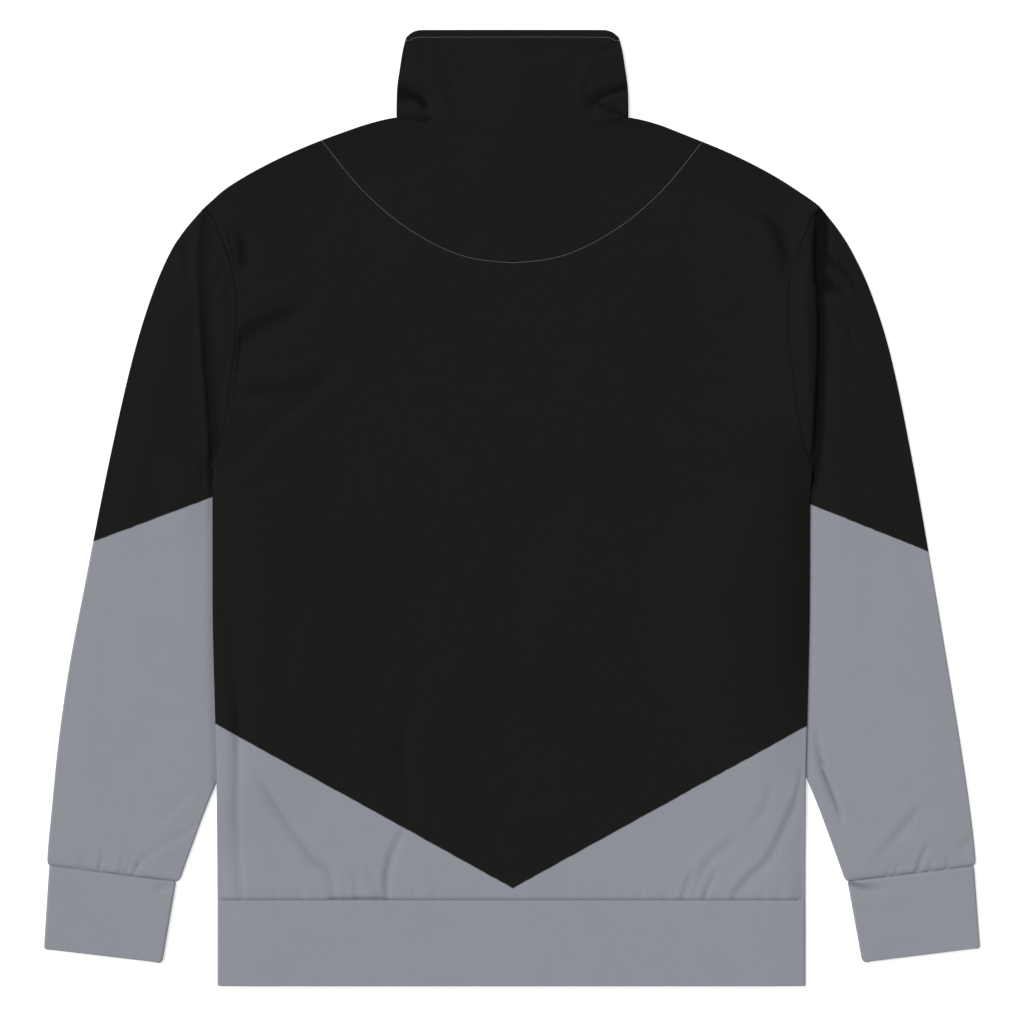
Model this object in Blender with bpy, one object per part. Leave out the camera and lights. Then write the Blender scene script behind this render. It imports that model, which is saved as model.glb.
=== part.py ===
"""Track jacket laid flat on its front, back upward, sleeves drawn down beside the body.

Lengths below are in millimetres and become metres only when a mesh is made. X runs across the
jacket, Y from hem to collar and Z up from the surface that it lies on. The origin is at the middle
of the outline, on that surface. The wearer's left is at -X.

Every cloth piece is a wall about a middle surface. Its plan comes from the outline tables, and its
height from two skins: the floor, which is the surface or the tucked part of a sleeve, and the top
skin, which the creases mark. The two layers meet in a rounded fold at the outline.
"drop" is a distance down the jacket from the side neck point and "out" one from the centre line.
"""

from collections import namedtuple

import bmesh
import bpy
import numpy as np

MM = 0.001

# Cloth
CLOTH = 1.2  # wall of a single layer
DOUBLED = 2.2  # wall of the collar, cuffs and hem band, which are cut double
SEAM = 0.3  # gap between two pieces that are sewn together
ARMHOLE_SEAM = 0.45  # the same, measured across the jacket where the seam runs askew

# Lengths down the jacket
TOTAL_LENGTH = 793.4
COLLAR_STAND = 72.4  # top edge to side neck point
HEM_BAND = 71.7
BACK_NECK_DROP = 10.4
FRONT_NECK_DROP = 60.0
FRONT_COLLAR_HEIGHT = 75.0  # at centre front
COLLAR_CORNER = 10.0  # radius of the collar's top corners
SHOULDER_DROP = 75.0
ARMPIT_DROP = 292.0
TOP_Y = TOTAL_LENGTH / 2
HEM_Y = -TOTAL_LENGTH / 2
NECK_Y = TOP_Y - COLLAR_STAND
HEM_SEAM_Y = HEM_Y + HEM_BAND
ARMHOLE_TOP = SHOULDER_DROP + CLOTH / 2
ARMHOLE_SPAN = ARMPIT_DROP - ARMHOLE_TOP

# Half widths
NECK_OUT = 96.5
NECK_FOLD = NECK_OUT - DOUBLED / 2  # middle of the collar's wall at its side fold
COLLAR_TOP_OUT = 88.6
ARMPIT_OUT = 249.0
FRONT_EDGE_OUT = 6.0  # centre line to the edge of the cloth beside the zip

# Heights of the top skin above the floor
EDGE_PUFF = 5.4  # at a fold of the body or of a sleeve
BODY_PUFF = 6.2
TUCKED_PUFF = 3.0  # the part of a sleeve that lies under the body
BAND_EDGE_PUFF = 5.7
BAND_PUFF = 6.5
COLLAR_EDGE_PUFF = 5.7
COLLAR_TOP_PUFF = 6.2
PUFF_RUN = 40.0  # distance over which a skin rises from its edge
BODY_LIFT = 3.3  # the body lies this high over a tucked sleeve
LIFT_MARGIN = 28.0
LIFT_RUN = 45.0
TUCK_MARGIN = 8.0
TUCK_RUN = 12.0
FOLD_RADIUS = (EDGE_PUFF - CLOTH) / 2
COLLAR_RADIUS = (COLLAR_EDGE_PUFF - DOUBLED) / 2

# Outlines, as the outside edge of the cloth
Shoulder = namedtuple("Shoulder", "out drop")
SHOULDER = [
    Shoulder(96.5, 0),
    Shoulder(121, 5.8),
    Shoulder(135, 10.8),
    Shoulder(177, 27.4),
    Shoulder(211, 44),
    Shoulder(238, 60.6),
    Shoulder(256, 75),
]
Edge = namedtuple("Edge", "drop out")
ARMHOLE = [
    Edge(75, 256),
    Edge(84, 247.5),
    Edge(95, 243.5),
    Edge(121, 233.5),
    Edge(153, 228.5),
    Edge(182, 229.5),
    Edge(214, 233),
    Edge(248, 237),
    Edge(276, 243),
    Edge(292, 249),
]
BODY_SIDE = [
    Edge(292, 249),
    Edge(400, 248.6),
    Edge(500, 246.6),
    Edge(545, 244.8),
    Edge(649.5, 244.2),
]
OVERARM = {
    "left": [
        Edge(75, 256),
        Edge(94, 272.3),
        Edge(110, 283),
        Edge(144, 298),
        Edge(194, 313.7),
        Edge(276, 332.8),
        Edge(393, 356),
        Edge(459, 368.5),
        Edge(525, 377.7),
        Edge(575, 382.6),
        Edge(612, 385.6),
        Edge(621, 384.4),
    ],
    "right": [
        Edge(75, 256),
        Edge(94, 270.8),
        Edge(110, 281),
        Edge(144, 297),
        Edge(194, 313),
        Edge(276, 330.3),
        Edge(393, 351),
        Edge(459, 362),
        Edge(525, 372.7),
        Edge(575, 380),
        Edge(612, 384),
        Edge(621, 382.8),
    ],
}
# The underarm fold: down beside the armpit, in under the body and out to the cuff
UNDERARM = [
    Edge(292, 249.6),
    Edge(301, 251.4),
    Edge(311, 252.2),
    Edge(322, 250),
    Edge(338, 236),
    Edge(364, 213),
    Edge(402, 196),
    Edge(436, 194),
    Edge(476, 206),
    Edge(514, 226),
    Edge(552.5, 245.8),
    Edge(608.4, 267.3),
    Edge(627, 273.5),
    Edge(634.2, 278.5),
]
# How far in from the side the body is lifted by the tucked sleeve; far below zero there is none
Lift = namedtuple("Lift", "drop reach")
LIFT = [
    Lift(292, -62),
    Lift(318, 0),
    Lift(338, 26),
    Lift(364, 45),
    Lift(402, 54),
    Lift(436, 56),
    Lift(476, 44),
    Lift(514, 24),
    Lift(556, 2),
    Lift(580, -25),
    Lift(612, -62),
]
# Lines straight across a sleeve, by where they meet its two edges. They fan out round the armpit.
Section = namedtuple("Section", "over under")
SLEEVE_SECTIONS = [
    Section(75.6, 292),
    Section(86, 297),
    Section(99, 303),
    Section(115, 309),
    Section(134, 315),
    Section(158, 321),
    Section(186, 327),
    Section(216, 334),
    Section(246, 343),
    Section(276, 356),
    Section(308, 374),
    Section(344, 398),
    Section(382, 428),
    Section(420, 460),
    Section(458, 492),
    Section(496, 523),
    Section(534, 555),
    Section(570, 585),
    Section(597, 609),
    Section(613, 626),
    Section(621, 634.2),
]
Cuff = namedtuple("Cuff", "seam_out seam_out_drop seam_in seam_in_drop out out_drop inner inner_drop")
CUFFS = {
    "left": Cuff(383.6, 621.4, 281.2, 634.8, 388.9, 687.8, 291.6, 701.1),
    "right": Cuff(381.6, 621.8, 281.4, 634.6, 388.2, 686.4, 291.9, 700.4),
}

# Creases in the top skin. Each runs through three points, sinks by depth and is about twice its
# width wide, with a ridge on its left (positive) or right (negative) as a share of the depth.
# start and end say how much of the depth it keeps at each end.
Crease = namedtuple("Crease", "x1 y1 x2 y2 x3 y3 depth width ridge start end")
BODY_CREASES = [
    Crease(-236, -76, -229, -192, -225, -318, 1.5, 6.0, 0.35, 0.0, 0.6),
    Crease(-214, -221, -194, -257, -163, -301, 1.6, 7.5, -0.3, 0.0, 0.1),
    Crease(-158, -294, -152, -308, -150, -325, 1.2, 4.5, 0.4, 0.0, 1.0),
    Crease(-92, -262, -105, -292, -108, -325, 1.9, 6.0, 0.45, 0.0, 1.0),
    Crease(-124, -300, -118, -312, -113, -325, 0.9, 4.5, 0.0, 0.0, 1.0),
    Crease(236, -230, 215, -277, 190, -316, 1.7, 7.0, 0.3, 0.2, 0.3),
    Crease(183, -275, 154, -297, 142, -325, 1.4, 6.0, -0.35, 0.0, 1.0),
    Crease(170, -298, 165, -311, 161, -325, 1.3, 4.5, -0.4, 0.0, 1.0),
    Crease(209, -232, 203, -250, 196, -272, 0.7, 9.0, 0.0, 0.0, 0.0),
    Crease(-226, 126, -216, 156, -190, 167, 1.3, 9.0, 0.3, 0.5, 0.0),
    Crease(-228, 92, -190, 107, -146, 120, 1.4, 11.0, 0.3, 0.4, 0.0),
    Crease(-222, 15, -190, 45, -156, 78, 1.3, 15.0, 0.3, 0.2, 0.0),
    Crease(-228, 226, -226, 212, -227, 196, 1.2, 6.0, 0.0, 0.2, 0.2),
    Crease(221, 232, 222, 214, 225, 194, 1.1, 7.0, 0.0, 0.1, 0.3),
    Crease(226, 130, 205, 155, 176, 168, 0.7, 13.0, 0.0, 0.2, 0.0),
    Crease(-180, -190, -176, -235, -186, -262, 0.6, 14.0, 0.0, 0.0, 0.0),
]
# Short gathers where the hem band draws the back in
Gather = namedtuple("Gather", "x length depth width")
HEM_GATHERS = [
    Gather(-210, 14, 0.7, 4.0),
    Gather(-186, 18, 0.8, 4.0),
    Gather(-168, 12, 0.6, 3.5),
    Gather(-134, 16, 0.8, 4.0),
    Gather(-86, 15, 0.8, 4.0),
    Gather(-57, 17, 0.8, 4.0),
    Gather(-26, 10, 0.4, 4.0),
    Gather(28, 11, 0.4, 4.0),
    Gather(73, 16, 0.7, 4.0),
    Gather(99, 17, 0.8, 4.0),
    Gather(124, 13, 0.7, 4.0),
    Gather(179, 14, 0.8, 4.0),
    Gather(206, 12, 0.6, 4.0),
]
SLEEVE_CREASES = {
    "left": [
        Crease(-255, 244, -259, 195, -251, 38, 2.2, 5.5, 0.2, 0.3, 0.5),
        Crease(-272, 230, -271.5, 210, -271, 188, 0.9, 6.0, 0.0, 0.0, 0.0),
        Crease(-264, -267, -288, -279, -309, -299, 1.5, 6.0, 0.3, 0.0, 0.8),
        Crease(-325, -290, -328, -297, -330, -304, 1.0, 5.0, -0.3, 0.0, 1.0),
        Crease(-344, -284, -344.5, -293, -345, -301, 1.0, 5.0, -0.3, 0.0, 1.0),
    ],
    "right": [
        Crease(256, 246, 257.5, 190, 250.5, 36, 2.5, 6.0, -0.2, 0.3, 0.5),
        Crease(257, 226, 262, 204, 285, 184, 1.4, 6.5, 0.3, 0.6, 0.0),
        Crease(260, 166, 268, 156, 280, 140, 1.0, 5.0, 0.3, 0.4, 0.0),
        Crease(250, -196, 262, -234, 273, -258, 1.6, 5.0, -0.2, 0.6, 0.0),
        Crease(331, -253, 318, -273, 299, -295, 1.2, 7.5, 0.2, 0.0, 0.1),
        Crease(344, -281, 339, -291, 336, -303, 1.3, 5.0, -0.4, 0.0, 1.0),
        Crease(319, -293, 318, -299, 317, -305, 0.8, 4.5, 0.0, 0.0, 1.0),
        Crease(356, -284, 355, -292, 354, -300, 0.9, 4.5, 0.0, 0.0, 1.0),
    ],
}
COLLAR_CREASES = [
    Crease(-94, 347, -74, 335, -92, 327, 1.9, 6.0, 0.3, 0.7, 0.4),
    Crease(90, 351, 69, 340, 90, 329, 1.8, 6.0, -0.3, 0.5, 0.4),
    Crease(-60, 366, -58, 358, -58, 348, 0.7, 6.0, 0.0, 0.0, 0.0),
    Crease(-40, 344, -41, 335, -40, 326, 0.5, 7.0, 0.0, 0.0, 0.0),
]

# Zip, closed to the top of the collar front. It lies on the inner side of the fronts.
TAPE = 0.8
TAPE_OUT = 17.8
TAPE_RISE = 0.3  # gap to the cloth that it is sewn to
CHAIN = 2.0
CHAIN_OUT = 2.8
CHAIN_GAP = 0.3
TAPE_END = 1.0  # the tape stops this short of the cloth's ends
TAPE_STEP = 5.0  # it climbs onto the doubled cloth over this length
ZIP_LIFT = 3.0  # the cloth rises this much to make room for the slider
ZIP_LIFT_X = 24.0
ZIP_LIFT_Y = 38.0
SLIDER_HUMP = 2.0  # further rise of the collar back over the slider
HUMP_RUN = 42.0
SLIDER_Y = NECK_Y - FRONT_NECK_DROP + FRONT_COLLAR_HEIGHT - 9.0
SLIDER_LENGTH = 11.0
SLIDER_TOP_OUT = 4.6
SLIDER_FOOT_OUT = 4.1
SLIDER_PLATE = 1.0
FLANGE = 0.8
FLANGE_RISE = 0.6
POST_OUT = 1.0
POST_LENGTH = 2.6
LUG_LENGTH = 7.0
LUG_OUT = 0.8
LUG_BAR = 1.0
LUG_LEG = 1.2
PIN = 1.0
PIN_GAP = 0.25
PULL_LENGTH = 21.0
PULL_OUT = 3.2
PULL_ARM = 1.3
PULL_EYE = 4.6
PULL = 1.1
BOX_LENGTH = 8.0
BOX_OUT = 2.4
BOX = 2.2

BLACK = (0.012, 0.012, 0.012)
GREY = (0.27, 0.285, 0.32)
ZIP_BLACK = (0.015, 0.015, 0.016)
# Border between black above and grey below: out and y at its ends and, on the body, its middle
BODY_BORDER = ((247.0, -177.0), (0.0, -314.6))
SLEEVE_BORDER = ((249.0, 6.0), (347.0, -32.0))

# Grids: how many columns and rows a piece has
FOLD_STEPS = 3
BACK_COLUMNS = (12, 10)  # on each half: side to neck point, neck point to centre
FRONT_COLUMNS = (8, 6)
HEM_ROWS = 13
HEM_ROW_GROWTH = 1.6
ARMPIT_ROWS = (30.0, 20.0, 10.0, 0.0)
ARMPIT_RUN = 45.0
ARMHOLE_PLACES = 11
ARMHOLE_FADE = 160.0  # the sections lose the armhole's curve over this length of the sleeve
CUFF_SECTIONS = (0, 0.3, 0.65, 0.94, 1)
CUFF_CORNER = 1.6
COLLAR_ROWS = (0, 0.2, 0.45, 0.7, 0.88, 0.97, 1)
BAND_ROWS = (0, 0.35, 0.7, 1)
BAND_COLUMNS = (5, 18)  # on each half of the lower and upper layer


def smooth(rows, at, key="drop", value="out"):
    """Values of a table at given places, on a smooth curve that never overshoots its rows."""
    knots = np.array([getattr(row, key) for row in rows], float)
    values = np.array([getattr(row, value) for row in rows], float)
    secants = np.diff(values) / np.diff(knots)
    before, after = secants[:-1], secants[1:]
    level = before * after <= 0
    between = np.where(level, 0, 2 * before * after / np.where(level, 1, before + after))
    slopes = np.concatenate([secants[:1], between, secants[-1:]])
    at = np.clip(np.asarray(at, float), knots[0], knots[-1])
    i = np.clip(np.searchsorted(knots, at, side="right") - 1, 0, len(knots) - 2)
    step = knots[i + 1] - knots[i]
    t = (at - knots[i]) / step
    return (
        values[i] * (1 + 2 * t) * (1 - t) ** 2
        + values[i + 1] * (3 - 2 * t) * t**2
        + step * slopes[i] * t * (1 - t) ** 2
        - step * slopes[i + 1] * t**2 * (1 - t)
    )


def ease(share):
    """0 to 1 with level ends."""
    share = np.clip(share, 0, 1)
    return share * share * (3 - 2 * share)


def mix(a, b, share):
    return a + (b - a) * share


def arc(distance, radius):
    """Share of a quarter circle's height at a distance in from its foot."""
    return np.sqrt(1 - (1 - np.clip(distance / radius, 0, 1)) ** 2)


def fold_steps(radius):
    """Distances in from a fold's edge at even steps round a quarter circle."""
    return radius * (1 - np.cos(np.linspace(0, np.pi / 2, FOLD_STEPS + 1)))


# Outline


def body_edge(drop):
    """Armhole above the armpit, side below it."""
    return smooth(ARMHOLE + BODY_SIDE[1:], drop)


def shoulder_y(out):
    return NECK_Y - smooth(SHOULDER, out, "out", "drop")


def back_neck_y(x):
    return NECK_Y - BACK_NECK_DROP * (1 - np.minimum(np.abs(x) / NECK_FOLD, 1) ** 2)


def front_neck_y(x):
    return NECK_Y - FRONT_NECK_DROP * (1 - np.minimum(np.abs(x) / NECK_FOLD, 1) ** 2.4)


def side_distance(x, y):
    """How far in from the side fold, or from its end at the armpit."""
    drop = NECK_Y - y
    edge = body_edge(np.maximum(drop, ARMPIT_DROP)) - CLOTH / 2
    return np.hypot(np.maximum(edge - np.abs(x), 0), np.maximum(ARMPIT_DROP - drop, 0))


def shoulder_distance(x, y):
    """How far down from the shoulder fold, or from its end at the neck."""
    out = np.abs(x)
    edge = shoulder_y(out) - CLOTH / 2
    return np.hypot(np.maximum(edge - y, 0), np.maximum(NECK_FOLD - out, 0))


# Heights


def crease_depth(crease, x, y):
    """How far one crease sinks the skin at each point."""
    start, through, end = (np.array(crease[i : i + 2]) for i in (0, 2, 4))
    control = 2 * through - (start + end) / 2
    t = np.linspace(0, 1, 13)[:, None]
    line = (1 - t) ** 2 * start + 2 * t * (1 - t) * control + t**2 * end
    nearest, side, along = (np.full(np.shape(x), v) for v in (1e9, 0.0, 0.0))
    for k in range(len(line) - 1):
        a, d = line[k], line[k + 1] - line[k]
        share = np.clip(((x - a[0]) * d[0] + (y - a[1]) * d[1]) / (d @ d), 0, 1)
        dx, dy = x - a[0] - share * d[0], y - a[1] - share * d[1]
        away = np.hypot(dx, dy)
        closer = away < nearest
        nearest = np.where(closer, away, nearest)
        side = np.where(closer, np.sign(d[0] * dy - d[1] * dx), side)
        along = np.where(closer, (k + share) / (len(line) - 1), along)
    strength = np.minimum(
        mix(crease.start, 1, ease(along / 0.35)), mix(crease.end, 1, ease((1 - along) / 0.35))
    )
    trough = np.exp(-((nearest / crease.width) ** 2))
    beside = side * np.sign(crease.ridge) * nearest - 1.9 * crease.width
    ridge = abs(crease.ridge) * np.exp(-((beside / crease.width) ** 2))
    return crease.depth * strength * (trough - ridge)


def creases(table, x, y):
    return sum(crease_depth(crease, x, y) for crease in table)


def gathers(x, y):
    """Short waves that run up from the hem seam."""
    total = np.zeros(np.shape(x))
    for gather in HEM_GATHERS:
        up = np.clip((y - HEM_SEAM_Y) / gather.length, 0, 1)
        total += gather.depth * (1 - ease(up)) * np.exp(-(((x - gather.x) / gather.width) ** 2))
    return total


def slider_bump(x, y, across, along):
    return np.exp(-((x / across) ** 2) - ((y - SLIDER_Y) / along) ** 2)


def body_floor(x, y):
    """Underside of the body: on the surface, on a tucked sleeve, or raised for the slider."""
    reach = smooth(LIFT, NECK_Y - y, "drop", "reach")
    inner = ARMPIT_OUT - reach - LIFT_MARGIN - LIFT_RUN
    lift = BODY_LIFT * ease((np.abs(x) - inner) / LIFT_RUN)
    return lift + ZIP_LIFT * slider_bump(x, y, ZIP_LIFT_X, ZIP_LIFT_Y)


def body_skin(x, y):
    inside = np.minimum(body_edge(NECK_Y - y) - np.abs(x), shoulder_distance(x, y))
    puff = mix(EDGE_PUFF, BODY_PUFF, ease(inside / PUFF_RUN))
    puff = mix(puff, BAND_PUFF, np.exp(-(((y - HEM_SEAM_Y) / 30) ** 2)) * ease(inside / 15))
    puff = puff + SLIDER_HUMP * slider_bump(x, y, HUMP_RUN, HUMP_RUN)
    puff = puff - creases(BODY_CREASES, x, y) - gathers(x, y)
    return body_floor(x, y) + np.maximum(puff, 2 * CLOTH + SEAM)


def sleeve_skin(side):
    """Top skin of a sleeve: low where it is tucked under the body."""

    def skin(x, y):
        drop = NECK_Y - y
        under = ease((body_edge(drop) + TUCK_MARGIN + TUCK_RUN - np.abs(x)) / TUCK_RUN)
        under = under * ease((drop - ARMPIT_DROP - 4) / 20)
        puff = mix(EDGE_PUFF, TUCKED_PUFF, under)
        puff = puff - (1 - under) * creases(SLEEVE_CREASES[side], x, y)
        return np.maximum(puff, 2 * CLOTH + SEAM)

    return skin


def flat_skin(x, y):
    return np.full(np.shape(x), EDGE_PUFF)


def collar_skin(x, y):
    inside = mix(NECK_OUT, COLLAR_TOP_OUT, (y - NECK_Y) / COLLAR_STAND) - np.abs(x)
    full = mix(BODY_PUFF, COLLAR_TOP_PUFF, (y - back_neck_y(0)) / (TOP_Y - back_neck_y(0)))
    puff = mix(COLLAR_EDGE_PUFF, full, ease(inside / 28))
    puff = puff + SLIDER_HUMP * slider_bump(x, y, HUMP_RUN, HUMP_RUN)
    puff = np.maximum(puff - creases(COLLAR_CREASES, x, y), 2 * DOUBLED + SEAM)
    return body_floor(x, y) + puff


def band_skin(x, y):
    inside = body_edge(NECK_Y - HEM_SEAM_Y) - np.abs(x)
    return mix(BAND_EDGE_PUFF, BAND_PUFF, ease(inside / 30))


# Walls


def ghost(edge, inner, folded):
    """The row beyond a grid's edge: upright below a fold, and level beyond a cut edge."""
    upright = np.column_stack([inner[:, :2], 2 * edge[:, 2] - inner[:, 2]])
    level = np.column_stack([2 * edge[:, :2] - inner[:, :2], inner[:, 2]])
    return np.where(np.broadcast_to(folded, len(edge))[:, None], upright, level)


def wall(name, grid, thickness, colour, ring=False, folds=(False, False, False)):
    """A closed wall about the middle points grid[row][column].

    ring closes the columns. folds says where the first column, the last column and the last row
    lie on a fold. thickness is one number or a grid of them.
    """
    rows, columns = grid.shape[:2]
    if ring:
        wide = np.concatenate([grid[:, -1:], grid, grid[:, :1]], axis=1)
    else:
        before = ghost(grid[:, 0], grid[:, 1], folds[0])
        after = ghost(grid[:, -1], grid[:, -2], folds[1])
        wide = np.concatenate([before[:, None], grid, after[:, None]], axis=1)
    below = ghost(grid[0], grid[1], False)
    above = ghost(grid[-1], grid[-2], folds[2])
    tall = np.concatenate([below[None], grid, above[None]], axis=0)
    normals = np.cross(wide[:, 2:] - wide[:, :-2], tall[2:] - tall[:-2])
    normals /= np.linalg.norm(normals, axis=2, keepdims=True)
    half = np.broadcast_to(thickness, (rows, columns))[..., None] / 2
    mesh = bmesh.new()
    outer, inner = (
        [[mesh.verts.new(point * MM) for point in row] for row in grid + normals * half * sign]
        for sign in (1, -1)
    )
    last = columns if ring else columns - 1
    for i in range(rows - 1):
        for j in range(last):
            k = (j + 1) % columns
            mesh.faces.new([outer[i][j], outer[i][k], outer[i + 1][k], outer[i + 1][j]])
            mesh.faces.new([inner[i][j], inner[i + 1][j], inner[i + 1][k], inner[i][k]])
    for j in range(last):
        k = (j + 1) % columns
        mesh.faces.new([outer[0][k], outer[0][j], inner[0][j], inner[0][k]])
        mesh.faces.new([outer[-1][j], outer[-1][k], inner[-1][k], inner[-1][j]])
    if not ring:
        for i in range(rows - 1):
            mesh.faces.new([outer[i][0], outer[i + 1][0], inner[i + 1][0], inner[i][0]])
            mesh.faces.new([outer[i + 1][-1], outer[i][-1], inner[i][-1], inner[i + 1][-1]])
    return solid(name, mesh, colour)


def solid(name, mesh, colour, metallic=0.0, roughness=0.85):
    """An object of a finished bmesh, with its material."""
    bmesh.ops.recalc_face_normals(mesh, faces=mesh.faces)
    data = bpy.data.meshes.new(name)
    mesh.to_mesh(data)
    mesh.free()
    data.shade_smooth()
    data.materials.append(paint(name, colour, metallic, roughness))
    item = bpy.data.objects.new(name, data)
    bpy.context.scene.collection.objects.link(item)
    return item


def paint(name, colour, metallic=0.0, roughness=0.85):
    material = bpy.data.materials.new(name)
    material.use_nodes = True
    surface = material.node_tree.nodes["Principled BSDF"]
    surface.inputs["Base Color"].default_value = (*colour, 1)
    surface.inputs["Metallic"].default_value = metallic
    surface.inputs["Roughness"].default_value = roughness
    return material


def two_tone(item, border):
    """Gives the faces below a straight border, the same on both sides, the grey colour."""
    (out, y), (other_out, other_y) = border
    item.data.materials.append(paint(item.name + "_grey", GREY))
    for face in item.data.polygons:
        share = (abs(face.center.x) / MM - out) / (other_out - out)
        if face.center.y / MM < mix(y, other_y, share):
            face.material_index = 1


# Back and fronts


def tube_places(span, coarse=False):
    """Distances across a flattened tube of that width: a fold, places between and a fold."""
    steps = fold_steps(FOLD_RADIUS)
    inner = np.linspace(0, 1, ARMHOLE_PLACES)
    if coarse:
        inner = inner[::2]
    between = steps[-1] + (span - 2 * steps[-1]) * inner
    return np.concatenate([steps[:-1], between, span - steps[-2::-1]])


def side_rows(coarse):
    """Drops of a panel's rows at its side: up from the hem seam and on round the armhole."""
    low = NECK_Y - HEM_SEAM_Y - SEAM / 2
    run = low - ARMPIT_DROP - ARMPIT_RUN
    hem = low - run * np.linspace(0, 1, HEM_ROWS) ** HEM_ROW_GROWTH
    armhole = ARMHOLE_TOP + tube_places(ARMHOLE_SPAN, coarse)[::-1]
    return np.concatenate([hem, ARMPIT_DROP + np.array(ARMPIT_ROWS), armhole[1:]])


def side_line(drops):
    """Middle line of a panel's outer edge at those drops."""
    inset = np.where(drops < ARMPIT_DROP, ARMHOLE_SEAM / 2, CLOTH / 2)
    return body_edge(drops) - inset, NECK_Y - drops


def top_line(x, neck):
    """Middle line of a panel's top edge: the shoulder, and the neck seam inside it."""
    return np.where(np.abs(x) >= NECK_FOLD, shoulder_y(np.abs(x)) - CLOTH / 2, neck(x) - SEAM / 2)


def panel(name, foot, head, sides, neck, under):
    """A body panel. foot and head are the places of its columns, and sides its two edge lines."""
    share = (foot - foot[0]) / (foot[-1] - foot[0])
    rise = (sides[0][1] - sides[0][1][0]) / (sides[0][1][-1] - sides[0][1][0])
    u, v = share[None, :], rise[:, None]
    plan = []
    for bottom, top, first, last in (
        (foot, head, sides[0][0], sides[1][0]),
        (np.full(len(foot), sides[0][1][0]), top_line(head, neck), sides[0][1], sides[1][1]),
    ):
        value = mix(bottom[None, :], top[None, :], v)
        value = value + (1 - u) * (first - mix(first[0], first[-1], rise))[:, None]
        plan.append(value + u * (last - mix(last[0], last[-1], rise))[:, None])
    x, y = plan
    fold = arc(np.minimum(side_distance(x, y), shoulder_distance(x, y)), FOLD_RADIUS)
    floor, skin = body_floor(x, y), body_skin(x, y)
    middle = (floor + skin) / 2
    if under:
        z = mix(middle - SEAM / 2, floor + CLOTH / 2, fold)
    else:
        z = mix(middle + SEAM / 2, skin - CLOTH / 2, fold)
    folded = sides[0][1] <= NECK_Y - ARMPIT_DROP
    return wall(
        name,
        np.stack([x, y, z], axis=2),
        CLOTH,
        BLACK,
        folds=(
            folded & (abs(foot[0]) > FRONT_EDGE_OUT),
            folded & (abs(foot[-1]) > FRONT_EDGE_OUT),
            np.abs(head) >= NECK_FOLD,
        ),
    )


def neck_shares(count):
    """Places of the columns along the neck seam, 1 at the collar's fold and 0 in the middle."""
    return np.linspace(1, 0, count) ** 0.8


def panel_columns(side, counts, middle):
    """Distances out of a half panel's columns, at its foot and at its head, from the side in."""
    steps = fold_steps(FOLD_RADIUS)
    neck = mix(middle, NECK_FOLD - COLLAR_RADIUS, neck_shares(counts[1]))
    lines = []
    for edge in (side[0][0], side[0][-1]):
        shoulder = np.linspace(edge - steps[-1], NECK_FOLD, counts[0])
        lines.append(np.concatenate([edge - steps[:-1], shoulder, neck]))
    return lines


def make_back():
    out, y = side_line(side_rows(coarse=False))
    columns = panel_columns((out, y), BACK_COLUMNS, 0)
    foot, head = (np.concatenate([-line, line[-2::-1]]) for line in columns)
    item = panel("back", foot, head, ((-out, y), (out, y)), back_neck_y, under=False)
    two_tone(item, BODY_BORDER)


def make_front(side, sign):
    out, y = side_line(side_rows(coarse=True))
    foot, head = (sign * line for line in panel_columns((out, y), FRONT_COLUMNS, FRONT_EDGE_OUT))
    rise = (y - y[0]) / (y[-1] - y[0])
    edge_top = front_neck_y(FRONT_EDGE_OUT) - SEAM / 2
    edge = (np.full(len(y), sign * FRONT_EDGE_OUT), mix(y[0], edge_top, rise))
    item = panel("front_" + side, foot, head, ((sign * out, y), edge), front_neck_y, under=True)
    two_tone(item, BODY_BORDER)


# Sleeves and cuffs


def tube(name, sign, outer, inner, skin, thickness, bulge=None, coarse_top=False):
    """A flattened tube through sections that run straight from an outer to an inner edge point.

    Edge points are (out, y) of the middle surface. bulge moves each section's points outward.
    """
    grid = []
    for k in range(len(outer)):
        span = np.hypot(*(inner[k] - outer[k]))
        over = tube_places(span, coarse_top)
        under = tube_places(span, coarse=True)[-2:0:-1]
        place = np.concatenate([over, under])
        points = mix(outer[k], inner[k], (place / span)[:, None])
        if bulge:
            points = points + bulge(k, place / span)
        x, y = sign * points[:, 0], points[:, 1]
        share = arc(np.minimum(place, span - place), FOLD_RADIUS)
        top = skin(x, y)
        level = np.where(np.arange(len(place)) < len(over), top - thickness / 2, thickness / 2)
        grid.append(np.column_stack([x, y, mix(top / 2, level, share)]))
    return wall(name, np.array(grid), thickness, BLACK, ring=True)


def armhole_out(drop):
    """Middle line of a sleeve's armhole edge, which leaves the body's side free at the armpit."""
    spare = (UNDERARM[0].out + CLOTH / 2 - ARMPIT_OUT - ARMHOLE_SEAM / 2) * ease((drop - 280) / 12)
    return body_edge(drop) + ARMHOLE_SEAM / 2 + spare


def make_sleeve(side, sign):
    over, under = np.array(SLEEVE_SECTIONS).T
    outer = np.column_stack([smooth(OVERARM[side], over) - CLOTH / 2, NECK_Y - over])
    inner = np.column_stack([smooth(UNDERARM, under) + CLOTH / 2, NECK_Y - under])
    outer[0, 0] = armhole_out(ARMHOLE_TOP)

    def bulge(section, place):
        drop = mix(ARMHOLE_TOP, ARMPIT_DROP, place)
        chord = mix(outer[0, 0], inner[0, 0], place)
        fade = max(0, 1 - (over[section] - ARMHOLE_TOP) / ARMHOLE_FADE) ** 2
        return np.column_stack([fade * (armhole_out(drop) - chord), np.zeros(len(place))])

    item = tube("sleeve_" + side, sign, outer, inner, sleeve_skin(side), CLOTH, bulge)
    two_tone(item, SLEEVE_BORDER)


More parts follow.
